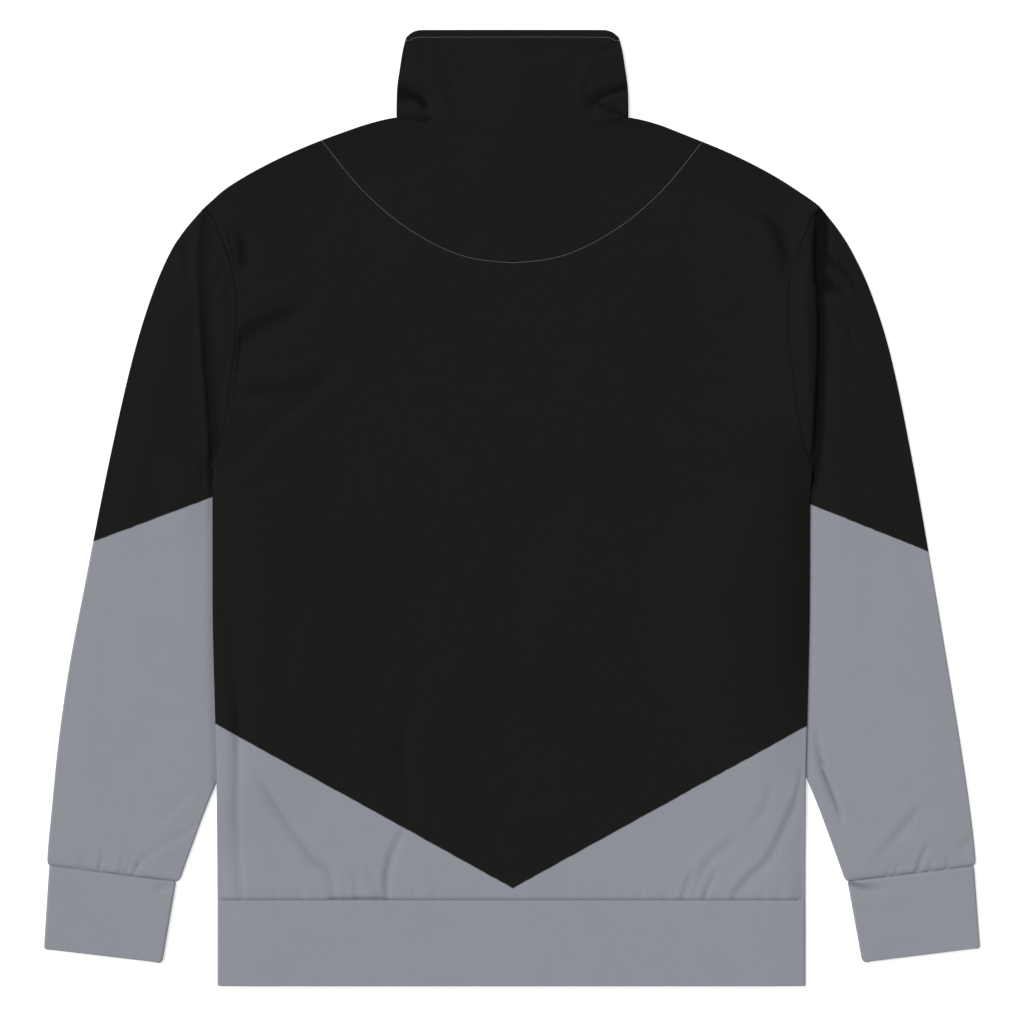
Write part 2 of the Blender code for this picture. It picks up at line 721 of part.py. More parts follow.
def make_cuff(side, sign):
    cuff = CUFFS[side]
    share = np.array(CUFF_SECTIONS)[:, None]
    start = np.array([cuff.seam_out - DOUBLED / 2, NECK_Y - cuff.seam_out_drop - SEAM])
    end = np.array([cuff.out - DOUBLED / 2, NECK_Y - cuff.out_drop])
    outer = mix(start, end, share)
    start = np.array([cuff.seam_in + DOUBLED / 2, NECK_Y - cuff.seam_in_drop - SEAM])
    end = np.array([cuff.inner + DOUBLED / 2, NECK_Y - cuff.inner_drop])
    inner = mix(start, end, share)
    outer[-1, 0] -= CUFF_CORNER
    inner[-1, 0] += CUFF_CORNER
    item = tube("cuff_" + side, sign, outer, inner, flat_skin, DOUBLED, coarse_top=True)
    item.data.materials[0] = paint(item.name + "_grey", GREY)


# Collar and hem band


def band_columns(half, radius, lower, upper):
    """Places across and levels, 0 the lower layer and 1 the upper, from zip to zip round a band.

    lower and upper give each layer's places on one half, fold to middle, as shares of its flat run.
    """
    angles = np.linspace(-np.pi / 2, np.pi / 2, 2 * FOLD_STEPS + 1)
    lower = mix(FRONT_EDGE_OUT, half - radius, lower)[:0:-1]
    upper = (half - radius) * upper[1:]
    out = np.concatenate([lower, half - radius * (1 - np.cos(angles)), upper])
    level = np.concatenate([lower * 0, (1 + np.sin(angles)) / 2, upper * 0 + 1])
    return np.concatenate([-out, out[-2::-1]]), np.concatenate([level, level[-2::-1]])


def make_collar():
    corner_out = COLLAR_TOP_OUT - DOUBLED / 2
    shares = (neck_shares(FRONT_COLUMNS[1]), neck_shares(BACK_COLUMNS[1]))
    grid = []
    for v in COLLAR_ROWS:
        half = mix(NECK_OUT, COLLAR_TOP_OUT, v) - DOUBLED / 2
        x, level = band_columns(half, COLLAR_RADIUS, *shares)
        out = np.abs(x)
        into = np.clip((out * corner_out / half - corner_out) / COLLAR_CORNER + 1, 0, 1)
        back_top = TOP_Y - COLLAR_CORNER * (1 - np.sqrt(1 - into**2))
        front_middle = NECK_Y - FRONT_NECK_DROP + FRONT_COLLAR_HEIGHT
        front_top = mix(front_middle, TOP_Y - COLLAR_CORNER, (out / half) ** 2.2)
        base = out * NECK_FOLD / half
        back_y = mix(back_neck_y(base) + SEAM, back_top, v)
        front_y = mix(front_neck_y(base) + SEAM, front_top, v)
        y = np.where(level > 0.5, back_y, front_y)
        floor, skin = body_floor(x, y) + DOUBLED / 2, collar_skin(x, y) - DOUBLED / 2
        grid.append(np.column_stack([x, y, mix(floor, skin, level)]))
    wall("collar", np.array(grid), DOUBLED, BLACK)


def make_hem_band():
    radius = (BAND_EDGE_PUFF - DOUBLED) / 2
    half = body_edge(NECK_Y - HEM_SEAM_Y) - DOUBLED / 2
    grid = []
    for v in BAND_ROWS:
        x, level = band_columns(half, radius, *(np.linspace(1, 0, count) for count in BAND_COLUMNS))
        y = np.full(len(x), mix(HEM_Y, HEM_SEAM_Y - SEAM / 2, v))
        skin = band_skin(x, y) - DOUBLED / 2
        grid.append(np.column_stack([x, y, mix(DOUBLED / 2, skin, level)]))
    wall("hem_band", np.array(grid), DOUBLED, GREY)


# Zip


def tape_middle(x, y):
    """Height of the tape's middle, which follows the cloth below it."""
    up_to_band = ease((HEM_SEAM_Y + TAPE_STEP + 1 - y) / TAPE_STEP)
    up_to_collar = ease((y - front_neck_y(0) + TAPE_STEP + 1) / TAPE_STEP)
    cloth = mix(CLOTH, DOUBLED, np.maximum(up_to_band, up_to_collar))
    bump = ZIP_LIFT * slider_bump(x, y, ZIP_LIFT_X, ZIP_LIFT_Y)
    return cloth + TAPE_RISE + TAPE / 2 + bump


def make_zip_side(side, sign):
    """One tape with its half of the closed teeth, as one bead."""
    neck, collar_top = front_neck_y(0), front_neck_y(0) + FRONT_COLLAR_HEIGHT
    chain_start, chain_end = HEM_Y + BOX_LENGTH + 2, SLIDER_Y + POST_LENGTH / 2
    places = [
        [HEM_Y + TAPE_END, chain_start - 0.4, chain_start],
        np.linspace(HEM_SEAM_Y + 1, HEM_SEAM_Y + 1 + TAPE_STEP, 3),
        np.linspace(HEM_SEAM_Y + 60, neck - 50, 4),
        np.linspace(neck - 1 - TAPE_STEP, neck - 1, 3),
        np.linspace(neck + 8, chain_end, 8),
        [chain_end + 0.4, collar_top - TAPE_END],
    ]
    y = np.concatenate(places)
    grid, thickness = [], []
    for place in y:
        chain = chain_start <= place <= chain_end + 0.01
        inner = CHAIN_GAP / 2 if chain else CHAIN_OUT - 0.1
        x = np.array([inner, CHAIN_OUT, CHAIN_OUT + 0.2, 10, TAPE_OUT])
        grid.append(np.column_stack([sign * x, np.full(5, place), tape_middle(x, place)]))
        bead = CHAIN if chain else TAPE
        thickness.append([bead, bead, TAPE, TAPE, TAPE])
    wall("zip_" + side, np.array(grid), np.array(thickness), ZIP_BLACK)


def prism(name, outline, low, high, along="z"):
    """A straight block of an outline, with its length along z, or along x over a (y, z) outline."""
    mesh = bmesh.new()
    ends = []
    for at in (low, high):
        points = [(a, b, at) if along == "z" else (at, a, b) for a, b in outline]
        ends.append([mesh.verts.new(np.array(point) * MM) for point in points])
    mesh.faces.new(ends[0])
    mesh.faces.new(ends[1])
    for i in range(len(outline)):
        k = (i + 1) % len(outline)
        mesh.faces.new([ends[0][i], ends[0][k], ends[1][k], ends[1][i]])
    return solid(name, mesh, ZIP_BLACK, metallic=0.6, roughness=0.4)


def block(name, x, y, z):
    return prism(name, [(x[0], y[0]), (x[1], y[0]), (x[1], y[1]), (x[0], y[1])], *z)


def join(item, others, operation="UNION"):
    """Live Booleans on an item with hidden helpers."""
    for other in others:
        other.hide_render = True
        other.display_type = "WIRE"
        boolean = item.modifiers.new(other.name, "BOOLEAN")
        boolean.operation = operation
        boolean.object = other


def make_slider():
    """Two plates round the teeth, joined by a post at the upper end, with a lug for the pull."""
    z = tape_middle(0, SLIDER_Y)
    room = CHAIN / 2 + CHAIN_GAP
    low, high = SLIDER_Y - SLIDER_LENGTH / 2, SLIDER_Y + SLIDER_LENGTH / 2
    right = [
        (SLIDER_FOOT_OUT - 0.8, low),
        (SLIDER_FOOT_OUT, low + 1),
        (SLIDER_TOP_OUT, SLIDER_Y + 1),
        (SLIDER_TOP_OUT, high - 1.5),
        (SLIDER_TOP_OUT - 1.5, high),
    ]
    outline = right + [(-x, y) for x, y in right[::-1]]
    front = prism("zip_slider", outline, z - room - SLIDER_PLATE, z - room)
    others = [prism("slider_back_plate", outline, z + room, z + room + SLIDER_PLATE)]
    post = (high - 1 - POST_LENGTH, high - 1)
    others.append(block("slider_post", (-POST_OUT, POST_OUT), post, (z - room - 0.2, z + room + 0.2)))
    flange_y = (low + 1.2, high - 1.7)
    front_flange = (z - room - 0.2, z - room + FLANGE_RISE)
    back_flange = (z + room - FLANGE_RISE, z + room + 0.2)
    for sign in (-1, 1):
        x = sorted((sign * SLIDER_FOOT_OUT, sign * (SLIDER_FOOT_OUT - FLANGE)))
        for height in (front_flange, back_flange):
            others.append(block("slider_flange", x, flange_y, height))
    face = z - room - SLIDER_PLATE
    bar_top = face - PIN - 2 * PIN_GAP
    half, leg, bar = LUG_LENGTH / 2, LUG_LEG, LUG_BAR
    arch = [
        (-half, face + 0.2),
        (-half, bar_top - bar / 2),
        (-half + bar / 2, bar_top - bar),
        (half - bar / 2, bar_top - bar),
        (half, bar_top - bar / 2),
        (half, face + 0.2),
        (half - leg, face + 0.2),
        (half - leg, bar_top),
        (leg - half, bar_top),
        (leg - half, face + 0.2),
    ]
    arch = [(y + SLIDER_Y, height) for y, height in arch]
    others.append(prism("slider_lug", arch, -LUG_OUT, LUG_OUT, along="x"))
    join(front, others)


def pin_height():
    return tape_middle(0, SLIDER_Y) - CHAIN / 2 - CHAIN_GAP - SLIDER_PLATE - PIN_GAP - PIN / 2


def make_pull():
    """A flat tab whose eye turns on a pin under the slider's lug."""
    z = pin_height()
    foot = SLIDER_Y - PULL_LENGTH
    right = [(PULL_OUT - 1, foot), (PULL_OUT, foot + 1), (PULL_OUT, SLIDER_Y)]
    outline = right + [(-x, y) for x, y in right[::-1]]
    tab = prism("zip_pull", outline, z - PULL / 2, z + PULL / 2)
    eye_out = PULL_OUT - PULL_ARM
    eye = block("pull_eye", (-eye_out, eye_out), (SLIDER_Y - PULL_EYE, SLIDER_Y + 1), (z - PULL, z + PULL))
    angles = np.linspace(0, 2 * np.pi, 12, endpoint=False)
    circle = [(SLIDER_Y + PIN / 2 * np.cos(a), z + PIN / 2 * np.sin(a)) for a in angles]
    pin = prism("pull_pin", circle, 0.05 - PULL_OUT, PULL_OUT - 0.05, along="x")
    join(tab, [eye], "DIFFERENCE")
    join(tab, [pin])


def make_zip_box():
    z = tape_middle(0, HEM_Y)
    y = (HEM_Y + TAPE_END, HEM_Y + TAPE_END + BOX_LENGTH)
    block("zip_box", (-BOX_OUT, BOX_OUT), y, (z - BOX / 2, z + BOX / 2))


def main():
    for item in list(bpy.data.objects):
        bpy.data.objects.remove(item)
    make_back()
    for side, sign in (("left", -1), ("right", 1)):
        make_front(side, sign)
        make_sleeve(side, sign)
        make_cuff(side, sign)
        make_zip_side(side, sign)
    make_collar()
    make_hem_band()
    make_slider()
    make_pull()
    make_zip_box()


main()
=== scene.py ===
"""The looks of a track jacket that lies flat on its front, back upward, sleeves beside the body.

Lengths are in millimetres and become metres when a mesh is made. X runs across the jacket, Y from
hem to collar and Z up from the surface, and the wearer's left is at -X. Every cloth piece is a thin
wall about a middle surface: its plan comes from the outline tables, and its height from a floor,
which is the surface or a tucked sleeve, and a top skin that the folds, gathers and seams mark.
"drop" is a distance down the jacket from the side neck point and "out" one from the centre line.
A span of four places rises from the first to the second and falls from the third to the fourth.
"""

import math
from collections import namedtuple
from functools import partial

import bpy
import numpy as np
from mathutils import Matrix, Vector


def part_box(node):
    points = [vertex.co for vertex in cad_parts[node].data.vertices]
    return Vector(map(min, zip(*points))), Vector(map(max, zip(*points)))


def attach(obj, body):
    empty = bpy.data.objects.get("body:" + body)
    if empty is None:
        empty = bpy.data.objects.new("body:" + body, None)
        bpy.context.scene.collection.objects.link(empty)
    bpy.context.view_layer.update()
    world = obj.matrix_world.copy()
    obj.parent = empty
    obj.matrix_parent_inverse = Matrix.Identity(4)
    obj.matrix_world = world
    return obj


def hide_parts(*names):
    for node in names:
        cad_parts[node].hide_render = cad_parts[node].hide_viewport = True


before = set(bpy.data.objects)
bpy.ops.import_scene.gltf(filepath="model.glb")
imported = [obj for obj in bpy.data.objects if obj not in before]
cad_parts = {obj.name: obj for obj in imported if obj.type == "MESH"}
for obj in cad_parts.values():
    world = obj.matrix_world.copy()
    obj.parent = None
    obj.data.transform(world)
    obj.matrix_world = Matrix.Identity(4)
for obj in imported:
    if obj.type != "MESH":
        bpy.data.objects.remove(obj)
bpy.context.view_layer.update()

MM = 0.001
LOW, HIGH = 0, 1
SIDES = (("left", -1), ("right", 1))


def edge_of(node, end, axis):
    """Lowest or highest place of a CAD node along X, Y or Z, in millimetres."""
    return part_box(node)[end]["XYZ".index(axis)] / MM


def table(columns, *values):
    """Rows of numbers with named columns."""
    row = namedtuple("Row", columns)
    return [row(*numbers) for numbers in values]


# Cloth
CLOTH = 1.2
DOUBLED = 2.2
JOIN = 0.1  # gap left between two pieces along a seam
ARMHOLE_JOIN = 0.3
BACK_ROLL = (5.0, 3.4)  # how far from a seam a panel rolls down to it, and how deep
BAND_ROLL = (1.5, 2.6)
NECK_ROLL = (2.2, 1.2)
NECK_ROLL_SHARES = (0.2, 1.2)  # of it at the middle of the neck and beside it
NECK_ROLL_RUN = 80.0
NECK_EDGE_ROLL = (1.5, 0.9)
NECK_RIDGE = (2.1, 1.3, 0.5)  # how far below the neck seam the back stands up, how wide and how high
ARMHOLE_ROLL = (2.6, 1.6)
SEAM_PULL = 0.35  # how far stitching draws a topstitched line in
SEAM_PULL_RUN = 1.1
SWAY = 0.35  # slow unevenness of cloth that was smoothed flat by hand
SLEEVE_SWAY = 0.7  # the share of it in the other pieces
CUFF_SWAY = 0.3
BAND_SWAY = 0.4
TURNED_IN = 3.0  # seam allowance that reaches inside the neighbouring piece
TURNED_DOWN = CLOTH + 0.15
TURN_STEP = 0.05
TRIMMED_IN = 0.08  # what is left of the hem band's allowance where it crosses the zip
THIN_END = 0.04  # a rounded edge closes at this share of its thickness

# Lengths down the jacket
TOP_Y = edge_of("collar", HIGH, "Y")
HEM_Y = edge_of("hem_band", LOW, "Y")
NECK_Y = edge_of("back", HIGH, "Y")
HEM_SEAM_SINK = 0.7
HEM_SEAM_Y = (edge_of("hem_band", HIGH, "Y") + edge_of("back", LOW, "Y")) / 2 - HEM_SEAM_SINK
COLLAR_STAND = TOP_Y - NECK_Y
BACK_NECK_DROP = 10.4
BACK_NECK_POWER = 2  # how square the curve of the neck is
FRONT_NECK_DROP = 60.0
FRONT_NECK_POWER = 2.4
FRONT_COLLAR_HEIGHT = 75.0
FRONT_COLLAR_POWER = 2.2
SHOULDER_DROP = 75.0
ARMPIT_DROP = 292.0
ARMHOLE_TOP = SHOULDER_DROP + CLOTH / 2
ARMHOLE_SPAN = ARMPIT_DROP - ARMHOLE_TOP
HEM_DROP = NECK_Y - HEM_SEAM_Y

# Half widths
NECK_FOLD = 95.4
ARMPIT_OUT = 249.0
FRONT_EDGE_OUT = edge_of("front_right", LOW, "X")

# Heights of the top skin above the floor
EDGE_PUFF = 4.2
BODY_PUFF = 6.2
TUCKED_PUFF = 3.0
BAND_EDGE_PUFF = 5.0
BAND_PUFF = 6.5
COLLAR_EDGE_PUFF = 5.8
COLLAR_TOP_PUFF = 6.2
PUFF_RUN = 40.0
COLLAR_PUFF_RUN = 28.0
BAND_PUFF_RUN = 30.0
BAND_PUFF_IN = 15.0
SWAY_RUN = 25.0
BODY_LIFT = 3.3
LIFT_MARGIN = 14.0
LIFT_RUN = 80.0
TUCK_MARGIN = 0.8
TUCK_RUN = 4.0
SLIDER_Y = (edge_of("zip_slider", LOW, "Y") + edge_of("zip_slider", HIGH, "Y")) / 2
ZIP_LIFT = 3.0
ZIP_LIFT_X = 24.0
ZIP_LIFT_Y = 38.0
SLIDER_HUMP = 2.0
HUMP_RUN = 56.0
SIDE_DROOP = (1.0, 2.2)  # how far the body rolls down to its left and right side folds
SIDE_DROOP_RUN = 27.0
TRACE_FADE = 12.0  # the armhole seam's mark ends over this length at the armpit
SLEEVE_PUFF = 7.2  # beside the armhole, and further down
LOWER_SLEEVE_PUFF = 5.2
SLEEVE_PUFF_RUN = 26.0
STRIP_RUN = 13.0  # the sleeve swells over this length from its armhole seam
CUFF_PUFF = 5.2
CUFF_FOLD_LIMIT = 1.3  # the doubled walls meet below this
ARMHOLE_RISE = 3.8  # how far the cloth beside the right armhole stands up over the sleeve's deep fold
RISE_SPAN = (150.0, 243.0, 243.0, 253.0)
RISE_RUN = 24.0

# Changes down the sides: how far below the armpit each starts, and over what run
RISE_FADE = (-50.0, 60.0)
DROOP_GROWTH = (-60.0, 70.0)
TUCK_GROWTH = (4.0, 20.0)
SWELL_GROWTH = (-10.0, 40.0)
SLEEVE_THINNING = (0.0, 90.0)
FREE_SIDE = (-12.0, 12.0)  # where the sleeve leaves the body's side

FOLD_RADIUS = 1.0
NECK_BEYOND = 50.0  # past the neck's end, its roll counts as this far off
NECK_BEYOND_RUN = 4.0
COLLAR_RADIUS = (COLLAR_EDGE_PUFF - DOUBLED) / 2

# Painted shade: the cloth's colour darkens in deep folds, along the shoulders and beside the right side
# fold
PAINTED_SHADE_FLOOR = 1.6  # only the top skin is marked
PAINTED_SHADE_FROM = 1.0
PAINTED_SHADE_RUN = 3.2
# how far the painted shade darkens the colour where it is full
PAINTED_SHADE_DARK = 0.55
# painted shade along the shoulders, darkest just below the shoulder fold and fading toward the armholes
SHOULDER_SHADE = 0.24
SHOULDER_SHADE_RUN = 52.0
SHOULDER_SHADE_OUT = 245.0
SHOULDER_SHADE_FADE = 50.0
SIDE_SHADE = 0.42  # painted shade beside the right side fold
SIDE_SHADE_RUN = 30.0
SIDE_SHADE_SPAN = (250.0, 310.0, 440.0, 530.0)

# Spacing of a wall's points: fine at its edge and coarse past a run
SPACING = {
    "back_hem": (0.4, 3.2, 12),
    "back_armhole": (0.8, 3.2, 12),
    "back_shoulder": (0.7, 2.5, 14),
    "front": (2.0, 7.0, 20),
    "armhole_valley": (0.5, 1.25, 6),
    "sleeve": (0.5, 3.2, 12),
    "cuff": (0.4, 2.4, 10),
    "collar": (0.55, 2.2, 26),
    "hem_band": (0.35, 2.8, 10),
}
# The same in shares of a half: the collar's upper layer, and the hem band's lower and upper layers
COLLAR_SHARES = (0.008, 0.022, 0.15)
BAND_SHARES = ((0.01, 0.025, 0.1), (0.004, 0.0118, 0.06))
CROWDING = 0.8  # crowds the hidden columns of the fronts and collar toward the side
SIDE_LENGTH = 357.0
ARMHOLE_LENGTH = 214.0
SHOULDER_LENGTH = 150.0

# Outlines, as the outside edge of the cloth
Cuff = namedtuple("Cuff", "seam_out seam_out_drop seam_in seam_in_drop out out_drop inner inner_drop")
Fold = namedtuple("Fold", "points depths width ridge ends far")
Border = namedtuple("Border", "x y to_x to_y")
SHOULDER = table(
    "out drop",
    (96.5, 0), (104, 1.3), (121, 5.8), (135, 10.8), (177, 27.4), (211, 44), (238, 60.6), (256, 75),
)
SHOULDER_LEAN = 2.0  # how far to the left the shoulders lie between these places
LEAN_SPAN = (110.0, 160.0, 234.0, 254.0)
ARMHOLE = table(
    "drop out",
    (75, 256), (84, 247.5), (95, 243.5), (121, 233.5), (153, 228.5), (182, 229.5), (214, 233),
    (248, 237), (276, 243), (292, 249),
)
BODY_SIDE = {
    "left": table("drop out", (292, 249), (400, 248.9), (500, 246.7), (545, 245.6), (649.5, 244.9)),
    "right": table(
        "drop out",
        (292, 249), (320, 247), (400, 246.6), (500, 244.6), (545, 243.5), (649.5, 243.3),
    ),
}
OVERARM = {
    "left": table(
        "drop out",
        (75, 256), (94, 272.3), (110, 283), (144, 298), (194, 313.7), (276, 332.8), (393, 356),
        (459, 368.5), (525, 377.7), (575, 382.6), (612, 386), (621, 386.4),
    ),
    "right": table(
        "drop out",
        (75, 256), (94, 270.8), (110, 281), (144, 297), (194, 313), (276, 330.3), (393, 351),
        (459, 362), (525, 372.7), (575, 380), (612, 384.2), (621, 384.8),
    ),
}
UNDERARM = table(
    "drop out",
    (292, 249.6), (301, 249.8), (308, 248.8), (316, 246), (324, 241.5), (338, 232), (364, 213),
    (402, 196), (436, 194), (476, 206), (514, 226), (552.5, 245.8), (608.4, 267.3), (634.2, 276.4),
)
# How far in from the armpit the tucked sleeve reaches, which holds the body up
LIFT = table(
    "drop reach",
    (292, -62), (318, 0), (338, 26), (364, 45), (402, 54), (436, 56), (476, 44), (514, 24), (556, 2),
    (580, -25), (612, -62),
)
# Drops where each section across a sleeve meets its overarm and underarm edges
SLEEVE_SECTIONS = table(
    "over under",
    (75.6, 292), (86, 297), (99, 303), (115, 309), (134, 315), (158, 321), (186, 327), (216, 334),
    (246, 343), (276, 356), (308, 374), (344, 398), (382, 428), (420, 460), (458, 492), (496, 523),
    (534, 555), (570, 585), (597, 609), (613, 626), (621, 634.2),
)
ARMHOLE_FADE = 160.0
VALLEY_ZONE = 46.0  # length of sleeve from the armhole that has the finest folds
SLEEVE_CORNER = 4.6  # the sleeve's end turns in to the cuff over this length
SLEEVE_CORNER_IN = 3.2
CUFFS = {
    "left": Cuff(384.6, 621.4, 279.2, 634.8, 389.0, 690.4, 290.6, 701.8),
    "right": Cuff(383.2, 621.8, 278.2, 634.6, 388.2, 689.5, 290.3, 701.4),
}
CUFF_CORNER = (2.5, 4.2)  # rounding of its outer and inner lower corner
CUFF_SLOPE = 0.99  # cosine of its seam's angle
# Half width of the collar at shares of its height
COLLAR_SIDE = table(
    "share out",
    (0, 96.3), (0.1, 96.3), (0.35, 95.9), (0.6, 93.8), (0.87, 90.9), (1, 88.6),
)
COLLAR_CORNER_X = 13.0
COLLAR_CORNER_Y = 8.0
COLLAR_STITCH = 6.1  # topstitching below the collar's top edge
# Topstitching of the half moon inside the back neck, by height above its lowest point
YOKE_Y = 203.3
YOKE = table(
    "out rise",
    (0, 0), (24.5, 2.3), (41.5, 6), (58, 12.3), (91, 31.4), (124.5, 60.4), (157.7, 100.7),
)
# How plainly the armhole seam shows along its length
ARMHOLE_TRACE = table(
    "drop left right",
    (75, 0.3, 0), (88, 0.7, 0), (98, 1.2, 0.4), (121, 1.6, 0.8), (147, 1, 0.9), (165, 0.9, 0.9),
    (185, 1.2, 0.8), (223, 1.2, 0.8), (245, 0.8, 0.8), (265, 0.7, 1.1), (292, 0.7, 1.1),
)
# Short gathers where the hem band draws the back in
HEM_GATHERS = table(
    "x length depth width",
    (-214, 12, 0.5, 2.6), (-196, 16, 0.6, 2.8), (-175.5, 18, 0.7, 3), (-138, 20, 0.8, 2.2),
    (-125, 15, 0.6, 2.6), (-96, 16, 0.7, 2.8), (-80, 18, 0.6, 2.4), (-64, 17, 0.7, 2.6),
    (-50, 12, 0.5, 2.4), (-24, 9, 0.3, 3), (22, 9, 0.3, 3), (44, 12, 0.5, 2.6), (57, 14, 0.5, 2.4),
    (79, 16, 0.6, 2.6), (92, 14, 0.5, 2.4), (106, 17, 0.7, 2.6), (127, 13, 0.6, 2.6),
    (206, 12, 0.6, 2.8), (222, 14, 0.5, 2.6),
)
GATHER_SLANT = 0.12
GATHER_RIDGE = (1.8, 0.4)  # how far beside a gather its ridge lies, in widths, and its share of the depth


def fold(width, ridge, *stops, depth=None, ends=(1, 1), far=1.0):
    """A fold through stops (x, y, depth), or through stops (x, y) with one depth.

    It sinks the skin by its depth, and has a ridge on its left (positive) or right (negative) as a
    share of the depth. width is its half width on the ridge's side, and far times as much on the
    other. ends say how much of the depth it keeps at its first and last stop.
    """
    depths = [depth] * len(stops) if depth is not None else [stop[2] for stop in stops]
    return Fold([stop[:2] for stop in stops], depths, width, ridge, ends, far)


BODY_FOLDS = [
    fold(2.4, 0.05, (-235.3, -30.7, 0), (-234.5, -76.4, 1), (-232, -117.9, 1.4), (-229.9, -151.1, 1.9),
         (-229.1, -171.8, 2.5), (-229.1, -209.2, 2.5), (-229.1, -250.7, 2.3), (-227, -292.2, 1.8),
         (-223.7, -322.9, 1.3), far=2.4),
    fold(3, 0, (-217, -207.5, 0), (-206.3, -229.1, 1.7), (-197.1, -245.7, 2), (-178.9, -273.9, 2),
         (-163.9, -293.8, 2.2), (-155.6, -299.6, 2.1), (-149.8, -309.6, 1.7), (-148.2, -323.7, 1.5),
         far=1.3),
    fold(6.4, 0, (-82.6, -147.7, 0), (-85.9, -171.8, 1.5), (-92.5, -196.7, 2), (-91.7, -217.5, 1.9),
         (-86.7, -238.2, 1.4), (-82.6, -254.8, 0.6)),
    fold(2.3, -0.1, (-83.4, -247.3, 0), (-86.7, -257.3, 0.5), (-90.1, -265.6, 1), (-96.7, -278.9, 1.5),
         (-102.5, -292.2, 2), (-105.4, -305.4, 2.3), (-105.8, -323.7, 2.3), far=1.8),
    fold(2.4, 0, (-133.2, -297.1), (-129.1, -310.4), (-129.9, -323.7), depth=0.8, ends=(0, 1)),
    fold(2.2, 0, (-123.3, -292.2), (-117.4, -305.4), (-112.5, -315.4), (-110.8, -323.7), depth=1.1,
         ends=(0, 1)),
    fold(1.5, 0, (-154.8, -324.5, 0), (-143.2, -324.2, 1.2), (-115, -324.2, 1.4), (-105, -324.5, 0)),
    fold(2.4, 0, (-225.3, 154.4, 0), (-226.2, 141.1, 0.9), (-226.6, 129.5, 1.3), (-228.7, 106.2, 1.1),
         (-231.2, 88, 0)),
    fold(5, 0, (-3.7, -229.9), (-2.9, -246.5), (-3.7, -263.1), depth=0.9, ends=(0, 0)),
    fold(3.4, -0.6, (241.1, -212.5, 0), (240.3, -228.2, 1.1), (234.5, -245.7, 1.3), (218.7, -279.7, 1.4),
         (210.4, -293.8, 1.4), (195.5, -307.9, 1.4), (185.5, -319.6, 1.2), far=1.6),
    fold(4.6, -0.3, (217, -219.1), (212.9, -239.9), (205.4, -256.5), (194.6, -272.2), depth=1, ends=(0, 0)),
    fold(4, -0.5, (191.3, -271.4), (177.2, -281.4), (165.6, -291.3), (156.5, -305.4), (152.3, -315.4),
         depth=1.1, ends=(0, 0.2)),
    fold(2, -0.4, (153.1, -297.1), (147.3, -306.3), (144, -314.6), (141.5, -323.7), depth=1.3, ends=(0, 1)),
    fold(2.1, -0.4, (171.4, -295.5), (166.4, -306.3), (162.3, -314.6), (158.9, -323.7), depth=1.6,
         ends=(0, 1)),
    fold(5, 0.4, (-229.5, 119.5, 0.6), (-227, 131.1, 1.5), (-223.7, 141.1, 2.5), (-217, 148.6, 2.8),
         (-202.9, 155.2, 2.5), (-185.5, 162.7, 1.8), (-164.8, 169.3, 0), far=2.4),
    fold(5, 0, (-229.5, 154.4, 0), (-222.9, 162.7, -0.8), (-212.9, 171.8, -1.4), (-198, 177.6, -1.2),
         (-176.4, 184.3, 0)),
    fold(7, 0, (-211.2, 157.7), (-193, 166), (-171.4, 172.6), (-154.8, 176), depth=1.2, ends=(0, 0),
         far=1.4),
    fold(2.2, 0, (-229.5, 114.5), (-222, 117), (-213.7, 122), depth=0.9, ends=(0.6, 0)),
    fold(6, 0.4, (-229.5, 91.3, 1.4), (-212.1, 96.3, 2), (-184.7, 99.6, 2.2), (-163.9, 107.9, 1.6),
         (-144.8, 118.7, 0)),
    fold(7.2, -0.8, (-233.6, 34, 1.4), (-202.9, 65.6, 2), (-174.7, 89.6, 1.9), (-153.1, 107.1, 1.3),
         (-134.9, 116.2, 0)),
    fold(4.6, -0.2, (-231.2, 233.2, 0), (-225.3, 219.9, 2.9), (-224.1, 204.2, 2.9), (-227.8, 190.9, 0),
         far=1.5),
    fold(2, -0.3, (-236.1, 230.7), (-232.8, 215.8), (-228.7, 197.5), depth=1.2, ends=(0.2, 0.2)),
    fold(4.8, -0.35, (173.9, 257.3, 0.6), (198.8, 244.8, 2.1), (214.6, 234.1, 3.1), (223.7, 214.1, 3.3),
         (227.8, 192.6, 1.6), far=1.5),
    fold(10, 0, (226.2, 130.3), (204.6, 155.2), (175.5, 168.5), depth=0.9, ends=(0.2, 0)),
    fold(12, 0.3, (-170.6, -59.8), (-186.3, -109.6), (-196.3, -169.3), depth=0.8, ends=(0, 0)),
    fold(11, 0.3, (199.6, 29.9), (213.7, -19.9), (222, -89.6), depth=0.8, ends=(0, 0)),
    fold(20, 0, (60.2, 59.8), (20.3, -39.8), (-20.3, -119.5), depth=0.5, ends=(0, 0)),
]
